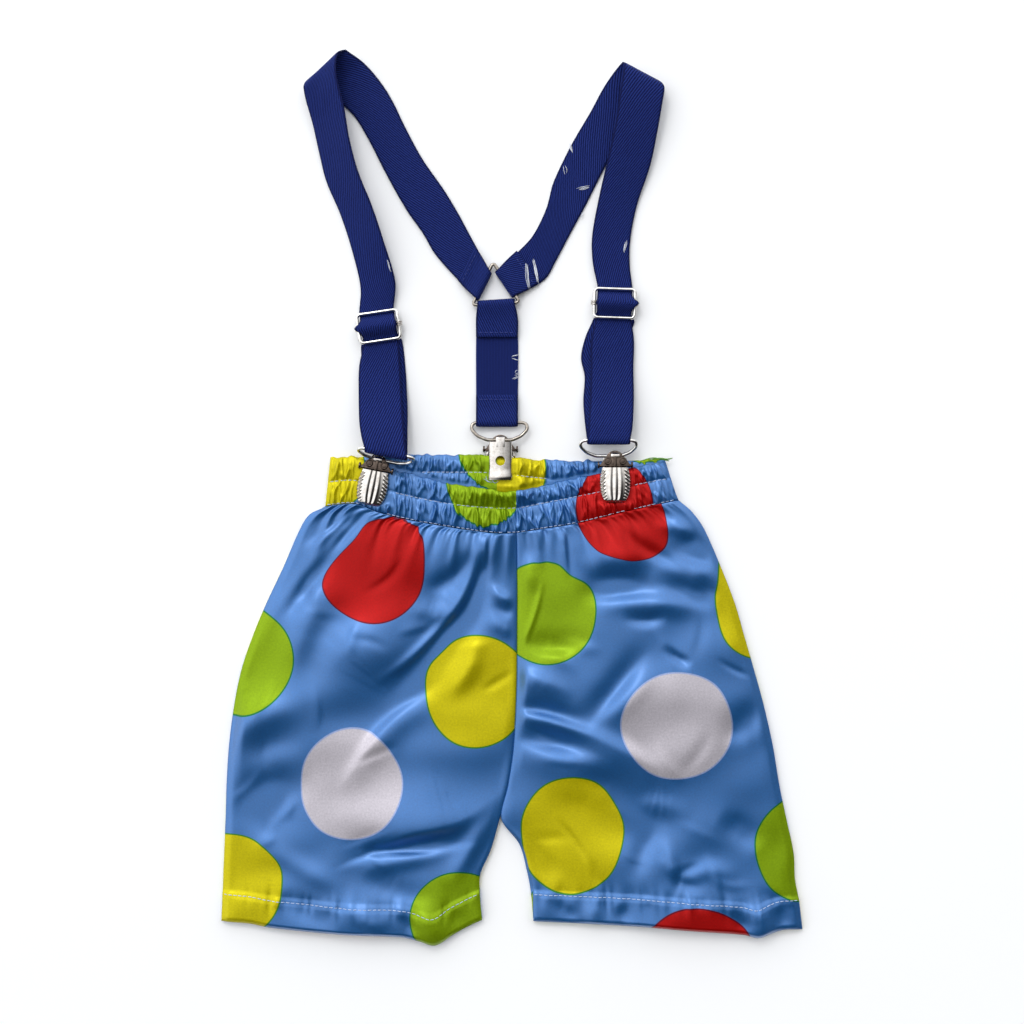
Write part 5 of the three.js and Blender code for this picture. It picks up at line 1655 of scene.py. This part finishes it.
def round_slider_bar(side):
    """The sewn end, from under the frame's lower wire to a wrap round the middle bar."""
    a, b = slider_line(side, bar_wrap_half, 0, slider_z)
    onward = np.array(slider_matrix[side].to_3x3() @ Vector((0, 1, 0)))
    start = [
        slider_line(side, 12, -slider_half_high - 1.6, 0.7),
        slider_line(side, 11, -slider_half_high + 1, 0.75),
        slider_line(side, 9.6, -4.2, 1.2),
    ]
    wrap = round_wire(a, b, onward, slider_bar_radius + wire_gap + elastic_wall / 2, -90, 130, 9)
    return np.concatenate([start, wrap])


def bar_ends(side):
    """Ends of the strap's place on a clip's wire loop."""
    clip = clip_places[side]
    lean = math.radians(clip["tilt"])
    y, z = loop_height * math.cos(lean), loop_height * math.sin(lean)
    ends = [(clip["shift"] + x, y, z) for x in (-loop_bar_half, loop_bar_half)]
    return moved(clip_matrix(clip["place"], clip["turn"], clip["flipped"]), ends)


def ring_end(corner_from, corner_to, row):
    """A strap's sewn end over one side of the ring, round it and back under it."""
    side = (corner_to - corner_from) / np.linalg.norm(corner_to - corner_from)
    a, b = corner_from + side * ring_clear_top, corner_to - side * ring_clear_low
    outward = ((a + b) / 2 - row.mean(0)) * (1, 1, 0)
    outward /= np.linalg.norm(outward)
    flap = []
    for distance, rise, wider in ((flap_length, layer_gap, 0.12), (flap_length / 2, 2 * layer_gap, 0.08)):
        behind = np.array([a + (a - b) * wider, b + (b - a) * wider]) - outward * distance
        behind[:, 2] = layer_lift + rise
        flap.append(behind)
    return np.concatenate([flap, round_wire(a, b, outward, wrap_radius, 90, -90)])


def tail(upper, under, side):
    """The doubled lower end, from the slider round a clip's wire and back up to the slider's bar."""
    wrap = round_wire(*bar_ends(side), np.array((0, -1.0, 0)), wrap_radius, 90, -90)
    return np.concatenate([upper, wrap, under, round_slider_bar(side)])


left_lines = np.concatenate(
    [
        flipped_over(np.concatenate([ring_end(ring_top, ring_left, rear_left[0]), rear_left])),
        front_left_rows,
        through_slider("left"),
        tail(tail_left_upper, tail_left_under, "left"),
    ]
)
right_lines = np.concatenate(
    [
        flipped_over(np.concatenate([ring_end(ring_top, ring_right, rear_right[0]), rear_right])),
        front_right_rows,
        flipped_over(through_slider("right")),
        flipped_over(tail(tail_right_upper, tail_right_under, "right")),
    ]
)


def side_strap(side, lines, slant):
    """The whole elastic of one side, which stands for its three straps in the part."""
    nodes = [f"strap_{stretch}_{side}" for stretch in ("rear", "front", "tail")]
    return ribbon(f"strap_{side}", lines, elastic(f"twill elastic {side}", slant), *nodes)


left_strap, left_faces = side_strap("left", left_lines, 1)
right_strap, right_faces = side_strap("right", right_lines, -1)

back_edge_left, back_edge_right = -20.6, 3.4
on_ring_left, on_ring_right = -19.8, 1.5
top_flap_end, bottom_flap_end, flap_z = 92.0, 59.0, 2.5
back_wrong_side = (0.038, 0.079)


def back_strap_lines():
    """The short back piece, with a sewn loop round the ring and another round the clip's wire."""

    def line(y, z):
        return np.array([(back_edge_left, y, z), (back_edge_right, y, z)])

    def on_ring(x):
        return ring_left + (ring_right - ring_left) * (x - ring_left[0]) / (ring_right[0] - ring_left[0])

    _, bar_y, bar_z = bar_ends("back")[0]
    up = np.array((0, 1.0, 0))
    return np.concatenate(
        [
            [line(top_flap_end, flap_z)],
            [line(top_flap_end * 0.4 + ring_left[1] * 0.6, flap_z + 0.6)],
            round_wire(on_ring(on_ring_left), on_ring(on_ring_right), up, wrap_radius, 90, -90),
            [line(top_flap_end, strap_rest), line(bottom_flap_end, strap_rest)],
            round_wire(*line(bar_y, bar_z), -up, wrap_radius, -90, 90),
            [line((bar_y + bottom_flap_end) / 2, flap_z + 0.6), line(bottom_flap_end, flap_z)],
        ]
    )


back_elastic = elastic("twill elastic back", 1, back_wrong_side)
back_strap, back_faces = ribbon("strap_back_piece", back_strap_lines(), back_elastic, "strap_back")


def across_flap(faces, row):
    """A line across the upper face of a sewn flap, just inside its edges."""
    return max((face[row] for face in faces), key=lambda points: points[:, 2].mean())[2:-2]


navy_thread = thread_finish("navy thread", colour(34, 52, 132))
flap_rows = (left_faces, 2), (right_faces, 2), (back_faces, 2), (back_faces, -3)
flap_lines = [across_flap(faces, row) for faces, row in flap_rows]
stitches("flap_stitches", flap_lines, navy_thread, "elastic", seed=8)

# ---- Loose ends ----------------------------------------------------------------------------
# A cut end of the green-dyed casing thread sticks out past the right side, a few ends of pale
# sewing thread lie under the back clip, and white lint clings to the twill.

hair_sides = 5
hair_radius, lint_radius = 0.2, 0.15


def hair(points, radius):
    """Points round a thin thread along a smooth line, in rings from end to end."""
    line = rounded(np.array(points, float))
    forward = np.gradient(line, axis=0)
    forward /= np.linalg.norm(forward, axis=1)[:, None]
    side = np.cross(forward, (0, 0, 1.0))
    side /= np.linalg.norm(side, axis=1)[:, None]
    up = np.cross(side, forward)
    turns = 2 * math.pi * np.arange(hair_sides) / hair_sides
    thin = radius * np.clip(np.sin(math.pi * np.linspace(0.04, 0.96, len(line))), 0, 1) ** 0.4
    offset = np.cos(turns)[:, None] * side[:, None] + np.sin(turns)[:, None] * up[:, None]
    return (line[:, None] + thin[:, None, None] * offset).reshape(-1, 3).tolist()


def hairs(name, finish, slot, routes):
    """Several threads as one piece, given as (radius, points)."""
    points, faces = [], []
    for radius, *route in routes:
        thread = hair(route, radius)
        faces += tube_faces(len(points), len(thread) // hair_sides, hair_sides)
        points += thread
    declared(recalculated(new_piece(name, points, faces, finish)), slot)


hairs(
    "green_thread_end",
    thread_finish("green thread", colour(92, 148, 42)),
    "satin",
    [
        (0.5, (78.0, 21.6, 3.6), (84.0, 22.6, 4.2), (88.5, 22.2, 3.9), (91.8, 22.8, 3.2)),
        (0.4, (74.0, 21.4, 3.6), (80.5, 22.9, 4.1), (87.0, 21.8, 3.9), (90.0, 21.2, 3.4)),
    ],
)


touch_reach, thread_lift = 2, 0.2


def just_above(piece, *places):
    """Points that lie on top of a piece at some places."""
    points = np.array([vertex.co for vertex in piece.data.vertices]) / mm
    near = [np.hypot(points[:, 0] - x, points[:, 1] - y) < touch_reach for x, y in places]
    return [np.array((x, y, points[found, 2].max() + thread_lift)) for (x, y), found in zip(places, near)]


pale_ends = [
    ((-16.0, 11.0), (-13.6, 9.2), (-10.6, 9.0)),
    ((-11.8, 10.6), (-9.8, 8.6), (-7.6, 9.6)),
    ((-14.8, 12.4), (-14.4, 10.2), (-12.0, 8.8)),
]
pale_routes = [(hair_radius, *just_above(back_waistband, *places)) for places in pale_ends]
hairs("pale_thread_ends", pale_thread, "satin", pale_routes)
# Lint on a strap, as (strap, x, y, reach in x, reach in y, how many)
lint_routes = []
lint_draw = np.random.default_rng(seed=17)
for elastic_piece, x, y, reach_x, reach_y, count in (
    (right_strap, 8.4, 134.0, 1.6, -15.0, 5),
    (right_strap, 12.4, 136.5, 3.0, -15.0, 8),
    (right_strap, 33.2, 203.0, 1.6, -5.5, 4),
    (right_strap, 30.0, 190.5, 0.8, -4.5, 2),
    (right_strap, 43.8, 178.5, -6.0, -1.4, 5),
    (right_strap, 40.6, 164.0, -1.6, -3.4, 3),
    (right_strap, 64.0, 141.0, 1.2, 6.5, 4),
    (left_strap, -70.2, 134.5, 1.4, -6.0, 3),
    (back_strap, 3.2, 82.0, -3.4, -0.8, 3),
    (back_strap, 3.4, 79.0, -3.0, 1.2, 3),
    (back_strap, 3.6, 73.0, -2.6, -2.2, 3),
    (back_strap, 3.6, 70.0, -3.2, -1.4, 3),
):
    for _ in range(count):
        start = np.array((x, y)) + lint_draw.uniform(-0.7, 0.7, 2)
        run = np.array((reach_x, reach_y)) * lint_draw.uniform(0.7, 1.1)
        middle = start + run / 2 + lint_draw.uniform(-0.7, 0.7, 2)
        lint_routes.append((lint_radius, *just_above(elastic_piece, start, middle, start + run)))
hairs("white_lint", thread_finish("white lint", colour(226, 230, 240)), "elastic", lint_routes)
